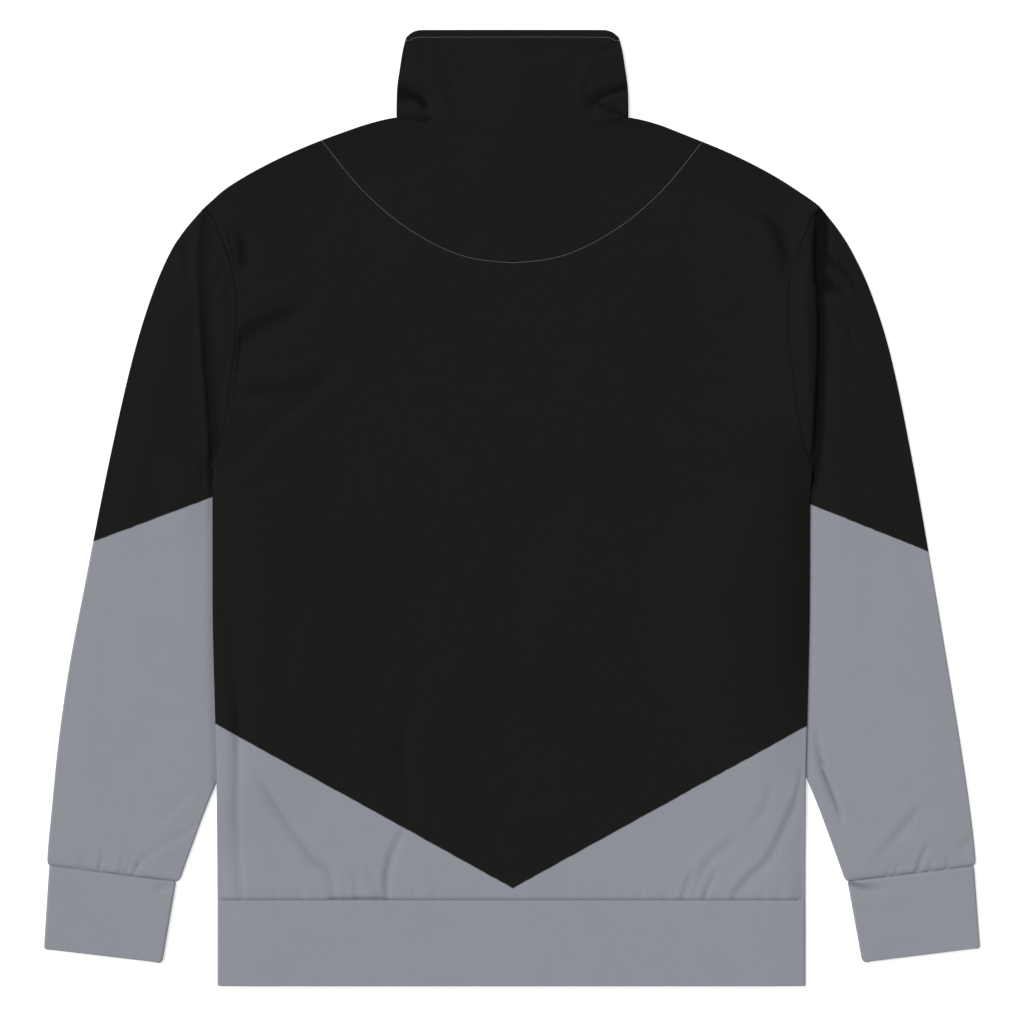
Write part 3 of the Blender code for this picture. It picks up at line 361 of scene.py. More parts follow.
SLEEVE_FOLDS = {
    "left": [
        fold(2.3, -0.3, (-252.7, 247.3, 1.2), (-256.1, 235.7, 2), (-257.5, 222.4, 2.4),
             (-258.4, 197.5, 2.2), (-257.1, 172.6, 2.5), (-255.1, 131.1, 2.6), (-252.2, 89.6, 2.8),
             (-250.2, 56.4, 2.7), (-249.7, 35.7, 2.5), (-249.4, 19.1, 1.8), far=5),
        fold(3.8, 0.3, (-274.3, 230.7), (-271, 215.8), (-269.3, 195.9), (-266.8, 179.3), depth=1.8,
             ends=(0, 0)),
        fold(2.6, -0.4, (-239.5, 204.2), (-243.6, 193.4), (-246.9, 180.1), depth=1.5, ends=(0.6, 0.2)),
        fold(2.6, -0.4, (-234.5, 178.4), (-241.1, 170.2), (-247.8, 161.8), depth=1.3, ends=(0.6, 0)),
        fold(2.4, 0.1, (-260.2, -261.4, 0.4), (-272.7, -270.6, 0.8), (-288.4, -279.7, 0.9),
             (-300, -286.3, 0.9), (-309.2, -294.6, 0.9), (-314.2, -302.1, 0.7)),
        fold(4.4, 0.2, (-257.7, -224.1), (-272.7, -240.7), (-287.6, -255.6), (-299.2, -263.9), depth=0.6,
             ends=(0, 0)),
        fold(1.5, -0.6, (-339.9, -285.5), (-341.5, -292.2), (-343.2, -299.6), depth=0.9, ends=(0, 1)),
        fold(1.5, -0.6, (-321.6, -288), (-324.1, -294.6), (-326.6, -302.1), depth=0.9, ends=(0, 1)),
        fold(1.4, -0.5, (-316.6, -290.5), (-319.1, -297.1), (-321.6, -302.9), depth=0.8, ends=(0, 1)),
        fold(1.6, -0.5, (-308.3, -290.5), (-311.7, -298), (-314.2, -303.8), depth=0.7, ends=(0, 1)),
        fold(2, 0, (-356.5, -288), (-357.3, -293.8), (-358.1, -298.8), depth=0.5, ends=(0, 1)),
        fold(11, 0.3, (-300, 59.8), (-295.9, 19.9), (-291.7, -29.9), depth=0.6, ends=(0, 0)),
        fold(11, 0.3, (-329.9, -59.8), (-335.7, -119.5), (-339.9, -190.1), depth=0.6, ends=(0, 0)),
    ],
    "right": [
        fold(2.2, -0.02, (254.4, 252.3, 3.4), (252.7, 234.9, 4.6), (251.5, 222.4, 5.2), (251.1, 214.1, 5.2),
             (251.9, 197.5, 5), (254, 172.6, 4.6), (254.4, 131.1, 4.5), (252.7, 89.6, 4.6),
             (251.1, 56.4, 4.6), (249, 35.7, 4.4), (247.8, 19.1, 2.6), far=3.9),
        fold(4.2, 0, (256.1, 250.7, 1.4), (257.7, 232.4, 4.4), (258.1, 217.5, 4.4), (256.9, 202.5, 1)),
        fold(3.2, 0.2, (256.9, 209.2, 3.4), (267.7, 202.5, 2.8), (278.5, 194.2, 2.4), (285.9, 179.3, 1.6),
             (289.3, 167.7, 0)),
        fold(4.4, 0, (253.6, 190.1, 4), (263.5, 184.3, 3.4), (273.5, 178.4, 2.4), (280.1, 171.8, 0)),
        fold(3, 0, (260.2, 171.8, -1.6), (272.7, 166, -2.4), (281.8, 153.5, -1.8), (290.1, 132.8, 0)),
        fold(2.8, 0, (262.7, 164.3, 0), (273.5, 152.7, 2.2), (281.8, 138.6, 2), (288.4, 122.8, 0)),
        fold(2.4, 0.1, (249.8, -171.8, 0), (252.3, -190.9, 1.9), (255.6, -209.2, 2.5), (259.4, -223.3, 2.5),
             (264.8, -236.5, 2.4), (270.6, -250.7, 2.1), (276, -267.3, 0)),
        fold(4.4, -0.8, (343.2, -242.4), (333.2, -255.6), (320, -272.2), (300, -295.5), depth=1,
             ends=(0, 0.3)),
        fold(1.8, -0.4, (349, -273.9), (342.4, -283.9), (338.2, -293.8), (335.7, -302.1), depth=1.4,
             ends=(0, 1)),
        fold(1.5, -0.3, (320.8, -293), (317.5, -303.8), depth=0.9, ends=(0, 1)),
        fold(1.5, -0.3, (313.3, -295.5), (310.8, -304.6), depth=0.8, ends=(0, 1)),
        fold(1.5, -0.3, (348.2, -289.7), (346.5, -301.3), depth=0.8, ends=(0, 1)),
        fold(1.8, -0.3, (362.3, -286.3), (360.6, -299.6), depth=0.8, ends=(0, 1)),
        fold(3.8, 0, (385.5, -270.6), (377.2, -278.9), (367.3, -285.5), depth=1.1, ends=(0.3, 0)),
        fold(10, 0.3, (300, -19.9), (298.4, -69.7), (301.7, -130.3), depth=0.6, ends=(0, 0)),
        fold(11, 0.3, (321.6, 19.9), (325.8, -19.9), (331.6, -79.7), depth=0.6, ends=(0, 0)),
    ],
}
CUFF_FOLDS = {
    "left": [
        fold(2.8, 0.02, (-279.3, -312.1), (-288.4, -315.4), (-299.2, -315.4), depth=1.6, ends=(0.8, 0),
             far=1.8),
    ],
    "right": [
        fold(2.4, 0.02, (276.8, -309.6, 2.8), (284.3, -311.7, 2.9), (291.7, -313.7, 2.8),
             (305, -315.4, 1.4), far=2),
    ],
}
COLLAR_FOLDS = [
    fold(6.6, 0, (-98.4, 343.6, 4), (-90.1, 341.1, 4), (-82.6, 337, 1.8)),
    fold(3.4, -0.3, (-92.5, 346.9, 2.6), (-81.8, 342, 3.8), (-74.3, 334.5, 4), (-72.6, 327.8, 1.4),
         far=1.6),
    fold(2.6, 0, (-94.2, 323.7, 2.6), (-81.8, 321.6, 3), (-71.8, 322, 3.4), (-60.2, 323.7, 0)),
    fold(3.6, 0.3, (99.2, 350.3, 4.4), (86.7, 346.9, 4.2), (75.1, 342.8, 3.9), (69.3, 337, 3.2),
         (71, 332.8, 1.5), far=1.3),
    fold(1.8, -0.5, (71.8, 334.5, 2.6), (80.9, 330.3, 2.8), (95.9, 323.7, 3.4)),
    fold(4.4, 0.3, (-65.2, 371.8, 0), (-56.9, 363.5, 1.9), (-51, 350.3, 1.9), (-52.7, 338.6, 0)),
    fold(2.8, 0, (-61.8, 346.9), (-56, 335.3), (-54.4, 325.4), depth=-1.3, ends=(0, 0.5)),
    fold(3, 0.3, (-75.9, 385.1), (-73.5, 375.2), (-72.6, 366.9), depth=1.5, ends=(0, 0)),
    fold(3.2, 0, (74.3, 380.1, 0), (62.7, 366.9, -1.4), (56, 351.9, -1.4), (56.9, 332, 0)),
    fold(5, 0, (59.3, 345.3), (64.3, 333.7), (59.3, 323.7), depth=1.7, ends=(0, 0)),
    fold(3.4, 0, (-88.4, 385.1), (-90.1, 370.2), (-93.4, 355.2), depth=2, ends=(0.6, 0)),
    fold(3.8, 0, (90.9, 386.8), (79.3, 381.8), (64.3, 378.5), depth=1.8, ends=(0.6, 0)),
    fold(4, 0, (-10.4, 380.1), (22.8, 378.5), (56, 382.6), depth=0.8, ends=(0, 0)),
]
RIDGE_PLACE = 1.7  # how far beside a fold its ridge lies, and how wide it is, in widths of the fold
RIDGE_WIDTH = 1.1
FOLD_FADE = 0.35  # share of a fold's length over which it keeps less of its depth at an end
FAR_TO_STEEP = 1.8  # a wide far side is flat at first and steep at its end

# Zip
TAPE = 0.8
TAPE_OUT = 17.8
# The tape's thickness at places across it: a cord that the teeth clasp, the weave and its edge
TAPE_SECTION = [
    (0.9, 0.9), (1.3, 1.3), (1.9, 1.3), (2.4, 0.9), (3.0, 0.5),
    (6.0, 0.5), (10.0, 0.5), (14.0, 0.5), (17.0, 0.5), (TAPE_OUT, 0.4),
]
TAPE_RISE = 0.3
TAPE_END = 1.0
TAPE_STEP = 5.0
BOX_LENGTH = 8.0
TOOTH_PITCH = 2.5
TOOTH_REACH = 2.85
TOOTH_HEIGHT = 1.9
TOOTH_OUT = 1.3
TEETH_ABOVE_BOX = 2.0
TEETH_BELOW_SLIDER = 6.5

# Thread
STITCH = 2.2
STITCH_PITCH = 2.3
STITCH_WIDTH = 0.5
STITCH_RISE = 0.05
YOKE_STITCH_OUT = 157.4
COLLAR_STITCH_OUT = 87.5
COLLAR_STITCH_SINK = 2.6  # how far it follows the collar's corners down
FRONT_STITCH_IN = 6.0
FRONT_STITCH_WIDTH = 0.3
FRONT_STITCH_RISE = 0.12
FRONT_STITCH_ENDS = (3.0, 8.0)  # how far it stays from the hem and neck seams

# Colour border, black above and grey below: out and y at its ends
BODY_BORDER = Border(0.4, -315.4, 246.6, -179.4)
SLEEVE_BORDER = {
    "left": Border(-349, -28.5, -249.4, 8.9),
    "right": Border(344.9, -36.1, 248.6, 2.4),
}
BORDER_BLUR = 0.7
BORDER_WANDER = 0.7

# Stitches of the knit, across and along
WALE = 0.85
COURSE = 0.65

BLACK_CLOTH = (0.0112, 0.0112, 0.0106)
GREY_CLOTH = (0.268, 0.280, 0.311)
THREAD = (0.15, 0.15, 0.148)
BLACK_THREAD = (0.012, 0.012, 0.012)
ZIP_TAPE = (0.013, 0.013, 0.013)
MOULDED_BLACK = (0.016, 0.016, 0.017)
ENAMEL_BLACK = (0.02, 0.02, 0.021)


# Curves


def smooth(rows, at, value=None):
    """Values of a table's second or named column at places of its first, on a smooth curve."""
    columns = np.array(rows, float).T
    return flowing(columns[0], columns[rows[0]._fields.index(value) if value else 1], at)


def flowing(knots, values, at):
    """Values between knots, on a curve that never overshoots them."""
    secants = np.diff(values) / np.diff(knots)
    before, after = secants[:-1], secants[1:]
    level = before * after <= 0
    between = np.where(level, 0, 2 * before * after / np.where(level, 1, before + after))
    slopes = np.concatenate([secants[:1], between, secants[-1:]])
    at = np.clip(np.asarray(at, float), knots[0], knots[-1])
    i = np.clip(np.searchsorted(knots, at, side="right") - 1, 0, len(knots) - 2)
    step = knots[i + 1] - knots[i]
    t = (at - knots[i]) / step
    return (
        values[i] * (1 + 2 * t) * (1 - t) ** 2
        + values[i + 1] * (3 - 2 * t) * t**2
        + step * slopes[i] * t * (1 - t) ** 2
        - step * slopes[i + 1] * t**2 * (1 - t)
    )


def ease(share):
    """0 to 1 with level ends."""
    share = np.clip(share, 0, 1)
    return share * share * (3 - 2 * share)


def past(drop, change):
    """How much of a change down the sides has come at a drop."""
    start, run = change
    return ease((drop - ARMPIT_DROP - start) / run)


def within(value, span):
    """1 between the middle two places of a span, and 0 beyond its ends."""
    start, full, last, end = span
    return ease((value - start) / (full - start)) * (1 - ease((value - last) / (end - last)))


def bell(away, width):
    return np.exp(-((away / width) ** 2))


def mix(a, b, share):
    return a + (b - a) * share


def arc(distance, radius):
    """Share of a quarter circle's height at a distance in from its foot."""
    return np.sqrt(1 - (1 - np.clip(distance / radius, 0, 1)) ** 2)


def roll(distance, form):
    """How far cloth sinks at a distance from a seam."""
    run, depth = form
    return depth * (1 - arc(distance, run))


def fold_steps(radius, count=6):
    """Distances in from a fold's edge at even steps round a quarter circle."""
    return radius * (1 - np.cos(np.linspace(0, np.pi / 2, count + 1)))


def spaced(length, fine, coarse, run, both=False):
    """Places along a length, close together at its start, or at both ends, and wider apart past run."""
    places = [0.0]
    while places[-1] < length:
        at = places[-1]
        near = min(at, abs(length - at)) if both else at
        places.append(at + mix(fine, coarse, ease(near / run)))
    places = np.array(places)
    return places * length / places[-1]


def through(points, steps=6):
    """A smooth line through points."""
    p = np.array(points, float)
    p = np.concatenate([2 * p[:1] - p[1:2], p, 2 * p[-1:] - p[-2:-1]])
    t = np.linspace(0, 1, steps, endpoint=False)[:, None]
    runs = []
    for a, b, c, d in zip(p, p[1:], p[2:], p[3:]):
        square = 2 * a - 5 * b + 4 * c - d
        cube = 3 * b - a - 3 * c + d
        runs.append((2 * b + (c - a) * t + square * t**2 + cube * t**3) / 2)
    return np.concatenate(runs + [p[-2:-1]])


# Outline


def by_side(x, left, right):
    return np.where(np.asarray(x) < 0, left, right)


def body_edge(drop, x):
    """Armhole above the armpit and side below it, on the side of the jacket where x is."""
    return by_side(x, *(smooth(ARMHOLE + BODY_SIDE[side][1:], drop) for side in BODY_SIDE))


def shoulder_y(x):
    """The shoulder fold, which lies a little to the left between the neck and the armholes."""
    out = np.abs(x)
    lean = SHOULDER_LEAN * np.sign(x) * within(out, LEAN_SPAN)
    return NECK_Y - smooth(SHOULDER, out + lean)


def neck_y(x, drop, power):
    return NECK_Y - drop * (1 - np.minimum(np.abs(x) / NECK_FOLD, 1) ** power)


def back_neck_y(x):
    return neck_y(x, BACK_NECK_DROP, BACK_NECK_POWER)


def front_neck_y(x):
    return neck_y(x, FRONT_NECK_DROP, FRONT_NECK_POWER)


def side_distance(x, y):
    """How far in from the side fold, or from its end at the armpit."""
    drop = NECK_Y - y
    edge = body_edge(np.maximum(drop, ARMPIT_DROP), x) - CLOTH / 2
    return np.hypot(np.maximum(edge - np.abs(x), 0), np.maximum(ARMPIT_DROP - drop, 0))


def shoulder_distance(x, y):
    """How far down from the shoulder fold, or from its end at the neck."""
    edge = shoulder_y(x) - CLOTH / 2
    return np.hypot(np.maximum(edge - y, 0), np.maximum(NECK_FOLD - np.abs(x), 0))


def fold_distance(x, y):
    """How far in from the nearer of those two folds."""
    return np.minimum(side_distance(x, y), shoulder_distance(x, y))


# Heights


def nearest_on(line, x, y):
    """Distance to a line of points, the side of it, and the share of the way along."""
    nearest, side, along = (np.full(np.shape(x), v) for v in (1e9, 0.0, 0.0))
    for k in range(len(line) - 1):
        a, d = line[k], line[k + 1] - line[k]
        share = np.clip(((x - a[0]) * d[0] + (y - a[1]) * d[1]) / (d @ d), 0, 1)
        dx, dy = x - a[0] - share * d[0], y - a[1] - share * d[1]
        away = np.hypot(dx, dy)
        closer = away < nearest
        nearest = np.where(closer, away, nearest)
        side = np.where(closer, np.sign(d[0] * dy - d[1] * dx), side)
        along = np.where(closer, (k + share) / (len(line) - 1), along)
    return nearest, side, along


def fold_depth(item, x, y):
    """How far one fold sinks the skin at each point."""
    nearest, side, along = nearest_on(through(item.points), x, y)
    first, last = (mix(end, 1, ease(s / FOLD_FADE)) for end, s in zip(item.ends, (along, 1 - along)))
    places = np.arange(len(item.depths))
    depth = np.interp(along * places[-1], places, item.depths) * np.minimum(first, last)
    toward_ridge = side * (-1 if item.ridge < 0 else 1) * nearest
    reach = np.where(toward_ridge < 0, item.width * item.far, item.width)
    steep = np.where(toward_ridge < 0, np.clip(item.far / FAR_TO_STEEP, 2, 4), 2)
    trough = np.exp(-((nearest / reach) ** steep))
    beside = toward_ridge - RIDGE_PLACE * item.width
    return depth * (trough - abs(item.ridge) * bell(beside, RIDGE_WIDTH * item.width))


def folds_at(folds, x, y):
    return sum(fold_depth(item, x, y) for item in folds)


# Painted shade at the bottom of deep folds: 0 where a fold is shallow and 1 where it is deep
def fold_painted_shade(folds, x, y):
    return ease((folds_at(folds, x, y) - PAINTED_SHADE_FROM) / PAINTED_SHADE_RUN)


def mark_painted_shade(item, sunk):
    """Stores where shade is painted into the cloth's colour: 1 at the bottom of deep folds."""
    places = np.empty(3 * len(item.data.vertices))
    item.data.vertices.foreach_get("co", places)
    x, y, z = places.reshape(-1, 3).T / MM
    painted_shade = np.where(z > PAINTED_SHADE_FLOOR, sunk(x, y), 0)
    item.data.attributes.new("painted_shade", "FLOAT", "POINT").data.foreach_set("value", painted_shade)


def body_painted_shade(x, y):
    """Painted shade in the folds, along the shoulders and beside the right side fold."""
    drop = NECK_Y - y
    # painted shade below the shoulder fold
    shoulder_shading = 1 - ease(shoulder_distance(x, y) / SHOULDER_SHADE_RUN)
    shoulder_shading = shoulder_shading * ease((SHOULDER_SHADE_OUT - np.abs(x)) / SHOULDER_SHADE_FADE)
    # painted shade beside the right side fold
    rubbing_and_side_shade = bell(body_edge(drop, x) - x, SIDE_SHADE_RUN) * within(drop, SIDE_SHADE_SPAN)
    return np.maximum(fold_painted_shade(BODY_FOLDS, x, y), np.maximum(SHOULDER_SHADE * shoulder_shading, SIDE_SHADE * rubbing_and_side_shade))


def gathers(x, y):
    """Short waves that run up from the hem seam, with a slant outward and a ridge beside each."""
    total = np.zeros(np.shape(x))
    up = y - HEM_SEAM_Y
    place, ridge = GATHER_RIDGE
    for gather in HEM_GATHERS:
        away = (x - gather.x - GATHER_SLANT * up * np.sign(gather.x)) / gather.width
        fade = 1 - ease(up / gather.length)
        total += gather.depth * fade * (bell(away, 1) - ridge * bell(away - place, 1))
    return total


def sway(x, y):
    """Slow unevenness all over, from waves of unlike lengths."""
    waves = np.sin(x / 37 + 1.3 * np.sin(y / 61)) * np.sin(y / 53 + 0.7)
    return SWAY * (waves + 0.4 * np.sin(x / 17 + y / 41 + 2) * np.sin(y / 29 - x / 71)) / 1.4


def zip_lift(x, y):
    """How far the slider holds the cloth off the surface."""
    return ZIP_LIFT * bell(x, ZIP_LIFT_X) * bell(y - SLIDER_Y, ZIP_LIFT_Y)


def slider_hump(x, y):
    return SLIDER_HUMP * bell(np.hypot(x, y - SLIDER_Y), HUMP_RUN)


def armhole_trace(drop, x):
    """How plainly the armhole seam shows, which ends at the armpit."""
    trace = by_side(x, *(smooth(ARMHOLE_TRACE, drop, side) for side, _ in SIDES))
    return trace * ease((ARMPIT_DROP - drop) / TRACE_FADE + 0.5)


def body_floor(x, y):
    """Underside of the body: on the surface, on a tucked sleeve, or raised for the slider."""
    inner = ARMPIT_OUT - smooth(LIFT, NECK_Y - y) - LIFT_MARGIN - LIFT_RUN
    return BODY_LIFT * ease((np.abs(x) - inner) / LIFT_RUN) + zip_lift(x, y)


def armhole_rise(x, y):
    """How far the cloth stands up beside the right armhole."""
    along = ease(shoulder_distance(x, y) / RISE_RUN) * (1 - past(NECK_Y - y, RISE_FADE))
    return ARMHOLE_RISE * within(x, RISE_SPAN) * along


def side_droop(x, y):
    """How far the body rolls down to its side fold, less so beside the armhole."""
    drop = NECK_Y - y
    away = np.clip((body_edge(drop, x) - np.abs(x)) / SIDE_DROOP_RUN, 0, 1)
    return by_side(x, *SIDE_DROOP) * (1 - away) ** 2 * past(drop, DROOP_GROWTH)


def plain_puff(x, y):
    """Height of the body above its floor, without its marks."""
    return mix(EDGE_PUFF, BODY_PUFF, ease(fold_distance(x, y) / PUFF_RUN)) - side_droop(x, y)


def body_skin(x, y):
    drop = NECK_Y - y
    inside = fold_distance(x, y)
    puff = mix(EDGE_PUFF, BODY_PUFF, ease(inside / PUFF_RUN))
    puff = mix(puff, BAND_PUFF, bell(y - HEM_SEAM_Y, BAND_PUFF_RUN) * ease(inside / BAND_PUFF_IN))
    puff = puff + slider_hump(x, y) - side_droop(x, y) + armhole_rise(x, y)
    puff = puff - folds_at(BODY_FOLDS, x, y) - gathers(x, y) + sway(x, y) * ease(inside / SWAY_RUN)
    puff = puff - roll(y - HEM_SEAM_Y, BACK_ROLL)
    puff = puff - armhole_trace(drop, x) * roll(body_edge(drop, x) - np.abs(x), ARMHOLE_ROLL)
    neck = np.maximum(back_neck_y(x) - y, 0) + NECK_BEYOND * ease((np.abs(x) - NECK_FOLD) / NECK_BEYOND_RUN)
    place, width, height = NECK_RIDGE
    puff = puff - roll(neck, NECK_EDGE_ROLL) + height * bell(neck - place, width)
    return body_floor(x, y) + np.maximum(puff, 2 * CLOTH + JOIN)


def plain_skin(x, y):
    """Top skin of the body without its marks, which the fronts share at the folds."""
    return body_floor(x, y) + plain_puff(x, y)


def cuff_seam_distance(side, x, y):
    """How far up from the line where a sleeve meets its cuff."""
    cuff = CUFFS[side]
    share = (np.abs(x) - cuff.seam_in) / (cuff.seam_out - cuff.seam_in)
    seam = NECK_Y - mix(cuff.seam_in_drop, cuff.seam_out_drop, share)
    return (y - seam) * CUFF_SLOPE


def sleeve_skin(side, x, y):
    """Top skin of a sleeve: low where it is tucked under the body."""
    drop, out = NECK_Y - y, np.abs(x)
    below = drop - ARMPIT_DROP
    edge = body_edge(drop, x)
    up = cuff_seam_distance(side, x, y)
    under = ease((edge + TUCK_MARGIN + TUCK_RUN - out) / TUCK_RUN) * past(drop, TUCK_GROWTH)
    inner = out - np.where(below > 0, np.maximum(edge, smooth(UNDERARM, drop)), edge)
    swell = ease(inner / mix(STRIP_RUN, SLEEVE_PUFF_RUN, past(drop, SWELL_GROWTH)))
    swell = swell * ease((smooth(OVERARM[side], drop) - out) / SLEEVE_PUFF_RUN)
    swell = swell * ease(up / SLEEVE_PUFF_RUN)
    armhole = np.maximum(out - edge, below)
    plain = mix(EDGE_PUFF, plain_puff(x, y), 1 - ease(armhole / STRIP_RUN))
    full = mix(SLEEVE_PUFF, LOWER_SLEEVE_PUFF, past(drop, SLEEVE_THINNING))
    puff = mix(mix(plain, full, swell) + armhole_rise(x, y), TUCKED_PUFF, under)
    marks = folds_at(SLEEVE_FOLDS[side], x, y) - SLEEVE_SWAY * sway(x, y) + roll(up, BACK_ROLL)
    marks = marks + armhole_trace(drop, x) * roll(out - edge, ARMHOLE_ROLL)
    return np.maximum(puff - (1 - under) * marks, 2 * CLOTH + JOIN)


def cuff_skin(side, x, y):
    marks = np.minimum(folds_at(CUFF_FOLDS[side], x, y), CUFF_FOLD_LIMIT) - CUFF_SWAY * sway(x, y)
    return CUFF_PUFF - marks - roll(-cuff_seam_distance(side, x, y), BAND_ROLL)


def collar_top_y(x):
    """Top edge of the collar's back, with its rounded corners."""
    into = np.clip((np.abs(x) - COLLAR_SIDE[-1].out) / COLLAR_CORNER_X + 1, 0, 1)
    return TOP_Y - COLLAR_CORNER_Y * (1 - np.sqrt(1 - into**2))


def collar_skin(x, y):
    foot = back_neck_y(0)
    half = smooth(COLLAR_SIDE, (y - NECK_Y) / (COLLAR_STAND - COLLAR_CORNER_Y))
    full = mix(BODY_PUFF, COLLAR_TOP_PUFF, (y - foot) / (TOP_Y - foot))
    puff = mix(COLLAR_EDGE_PUFF, full, ease((half - np.abs(x)) / COLLAR_PUFF_RUN)) + slider_hump(x, y)
    puff = puff - folds_at(COLLAR_FOLDS, x, y) + BAND_SWAY * sway(3 * x, 3 * y)
    puff = puff - SEAM_PULL * bell(collar_top_y(x) - y - COLLAR_STITCH, SEAM_PULL_RUN)
    share = mix(*NECK_ROLL_SHARES, ease(np.abs(x) / NECK_ROLL_RUN))
    puff = puff - share * roll(y - back_neck_y(x), NECK_ROLL)
    return body_floor(x, y) + np.maximum(puff, 2 * DOUBLED + JOIN)


def band_skin(x, y):
    inside = body_edge(HEM_DROP, x) - np.abs(x)
    puff = mix(BAND_EDGE_PUFF, BAND_PUFF, ease(inside / BAND_PUFF_RUN))
    return puff + BAND_SWAY * sway(x, y) * ease(inside / SWAY_RUN) - roll(HEM_SEAM_Y - y, BAND_ROLL)


# Walls


def ghost(edge, inner, folded):
    """The row beyond a grid's edge: upright below a fold, and level beyond a cut edge."""
    upright = np.column_stack([inner[:, :2], 2 * edge[:, 2] - inner[:, 2]])
    level = np.column_stack([2 * edge[:, :2] - inner[:, :2], inner[:, 2]])
    return np.where(np.broadcast_to(folded, len(edge))[:, None], upright, level)


def quads(*corner_list):
    """Faces whose four corners are (layer, row, column), each a number or an array."""
    size = max(np.size(part) for corner in corner_list for part in corner)
    faces = [
        np.stack([np.broadcast_to(np.ravel(part), size) for part in corner], axis=-1)
        for corner in corner_list
    ]
    return np.stack(faces, axis=1)


def wall(name, grid, thickness, finish, ring=False, folds=(False, False, False)):
    """A closed wall about the middle points grid[row][column], with a UV map in metres.

    ring closes the columns. folds says where the first column, the last column and the last row
    lie on a fold. thickness is one number or a grid of them.
    """
    count, columns = grid.shape[:2]
    if ring:
        wide = np.concatenate([grid[:, -1:], grid, grid[:, :1]], axis=1)
    else:
        before = ghost(grid[:, 0], grid[:, 1], folds[0])
        after = ghost(grid[:, -1], grid[:, -2], folds[1])
        wide = np.concatenate([before[:, None], grid, after[:, None]], axis=1)
    below = ghost(grid[0], grid[1], False)
    above = ghost(grid[-1], grid[-2], folds[2])
    tall = np.concatenate([below[None], grid, above[None]], axis=0)
    normals = np.cross(wide[:, 2:] - wide[:, :-2], tall[2:] - tall[:-2])
    normals /= np.linalg.norm(normals, axis=2, keepdims=True)
    half = np.broadcast_to(thickness, (count, columns))[..., None] / 2
    points = np.concatenate([(grid + sign * normals * half).reshape(-1, 3) for sign in (1, -1)])

    last = columns if ring else columns - 1
    i, j = (a.ravel() for a in np.meshgrid(np.arange(count - 1), np.arange(last), indexing="ij"))
    faces = [
        quads((0, i, j), (0, i, j + 1), (0, i + 1, j + 1), (0, i + 1, j)),
        quads((1, i, j), (1, i + 1, j), (1, i + 1, j + 1), (1, i, j + 1)),
    ]
    j, top = np.arange(last), count - 1
    faces.append(quads((0, 0, j + 1), (0, 0, j), (1, 0, j), (1, 0, j + 1)))
    faces.append(quads((0, top, j), (0, top, j + 1), (1, top, j + 1), (1, top, j)))
    if not ring:
        i, end = np.arange(count - 1), columns - 1
        faces.append(quads((0, i, 0), (0, i + 1, 0), (1, i + 1, 0), (1, i, 0)))
        faces.append(quads((0, i + 1, end), (0, i, end), (1, i, end), (1, i + 1, end)))
    layer, row, column = np.moveaxis(np.concatenate(faces), -1, 0)
    index = layer * count * columns + row * columns + column % columns

    closed = np.concatenate([grid, grid[:, :1]], axis=1) if ring else grid
    across = np.linalg.norm(np.diff(closed, axis=1), axis=2).mean(axis=0)
    along = np.linalg.norm(np.diff(closed, axis=0), axis=2).mean(axis=1)
    u, v = (np.concatenate([[0], np.cumsum(lengths)]) for lengths in (across, along))
    return shell(name, points, index, np.stack([u[column], v[row]], axis=-1), finish)


def placed(name, data):
    """A new object in the scene."""
    item = bpy.data.objects.new(name, data)
    bpy.context.scene.collection.objects.link(item)
    return item


def smoothed(mesh):
    mesh.shade_smooth()
    mesh.set_sharp_from_angle(angle=math.radians(50))


def shell(name, points, faces, places, finish):
    """An object of points in millimetres, quads and their UV places, with outward faces."""
    a, b, c, d = (points[faces[:, k]] for k in range(4))
    volume = np.einsum("ij,ij->i", np.cross(a, b), c) + np.einsum("ij,ij->i", np.cross(a, c), d)
    if volume.sum() < 0:
        faces, places = faces[:, ::-1], places[:, ::-1]
    mesh = bpy.data.meshes.new(name)
    mesh.from_pydata((points * MM).tolist(), [], faces.tolist())
    layer = mesh.uv_layers.new(name="cloth")
    layer.data.foreach_set("uv", (places * MM).astype(np.float32).ravel())
    smoothed(mesh)
    mesh.materials.append(finish)
    return placed(name, mesh)


def belongs(item, body, slot, *nodes):
    """Says which body an item rides on, and the solids that it stands for; slot, its finish, is not used.
    """
    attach(item, body)
    if nodes:
        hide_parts(*nodes)


# Back and fronts


def side_rows(hem, armhole):
    """Drops of a panel's rows at its side, up from the hem seam and on round the armhole."""
    low = HEM_DROP - JOIN / 2
    hem = spaced(SIDE_LENGTH, *hem)
    beyond = FOLD_RADIUS + spaced(ARMHOLE_LENGTH, *armhole)
    armhole = np.concatenate([fold_steps(FOLD_RADIUS)[:-1], beyond])
    down = low - hem * (low - ARMPIT_DROP) / hem[-1]
    up = ARMHOLE_TOP + armhole[::-1] * ARMHOLE_SPAN / armhole[-1]
    return np.concatenate([down, up[1:]])


def side_line(drops, sign):
    """Middle line of a panel's outer edge at those drops."""
    inset = np.where(drops < ARMPIT_DROP, ARMHOLE_JOIN / 2, CLOTH / 2)
    return body_edge(drops, sign) - inset, NECK_Y - drops


def top_line(x, neck):
    """Middle line of a panel's top edge: the shoulder, and the neck seam inside it."""
    return np.where(np.abs(x) >= NECK_FOLD, shoulder_y(x) - CLOTH / 2, neck(x) - JOIN / 2)


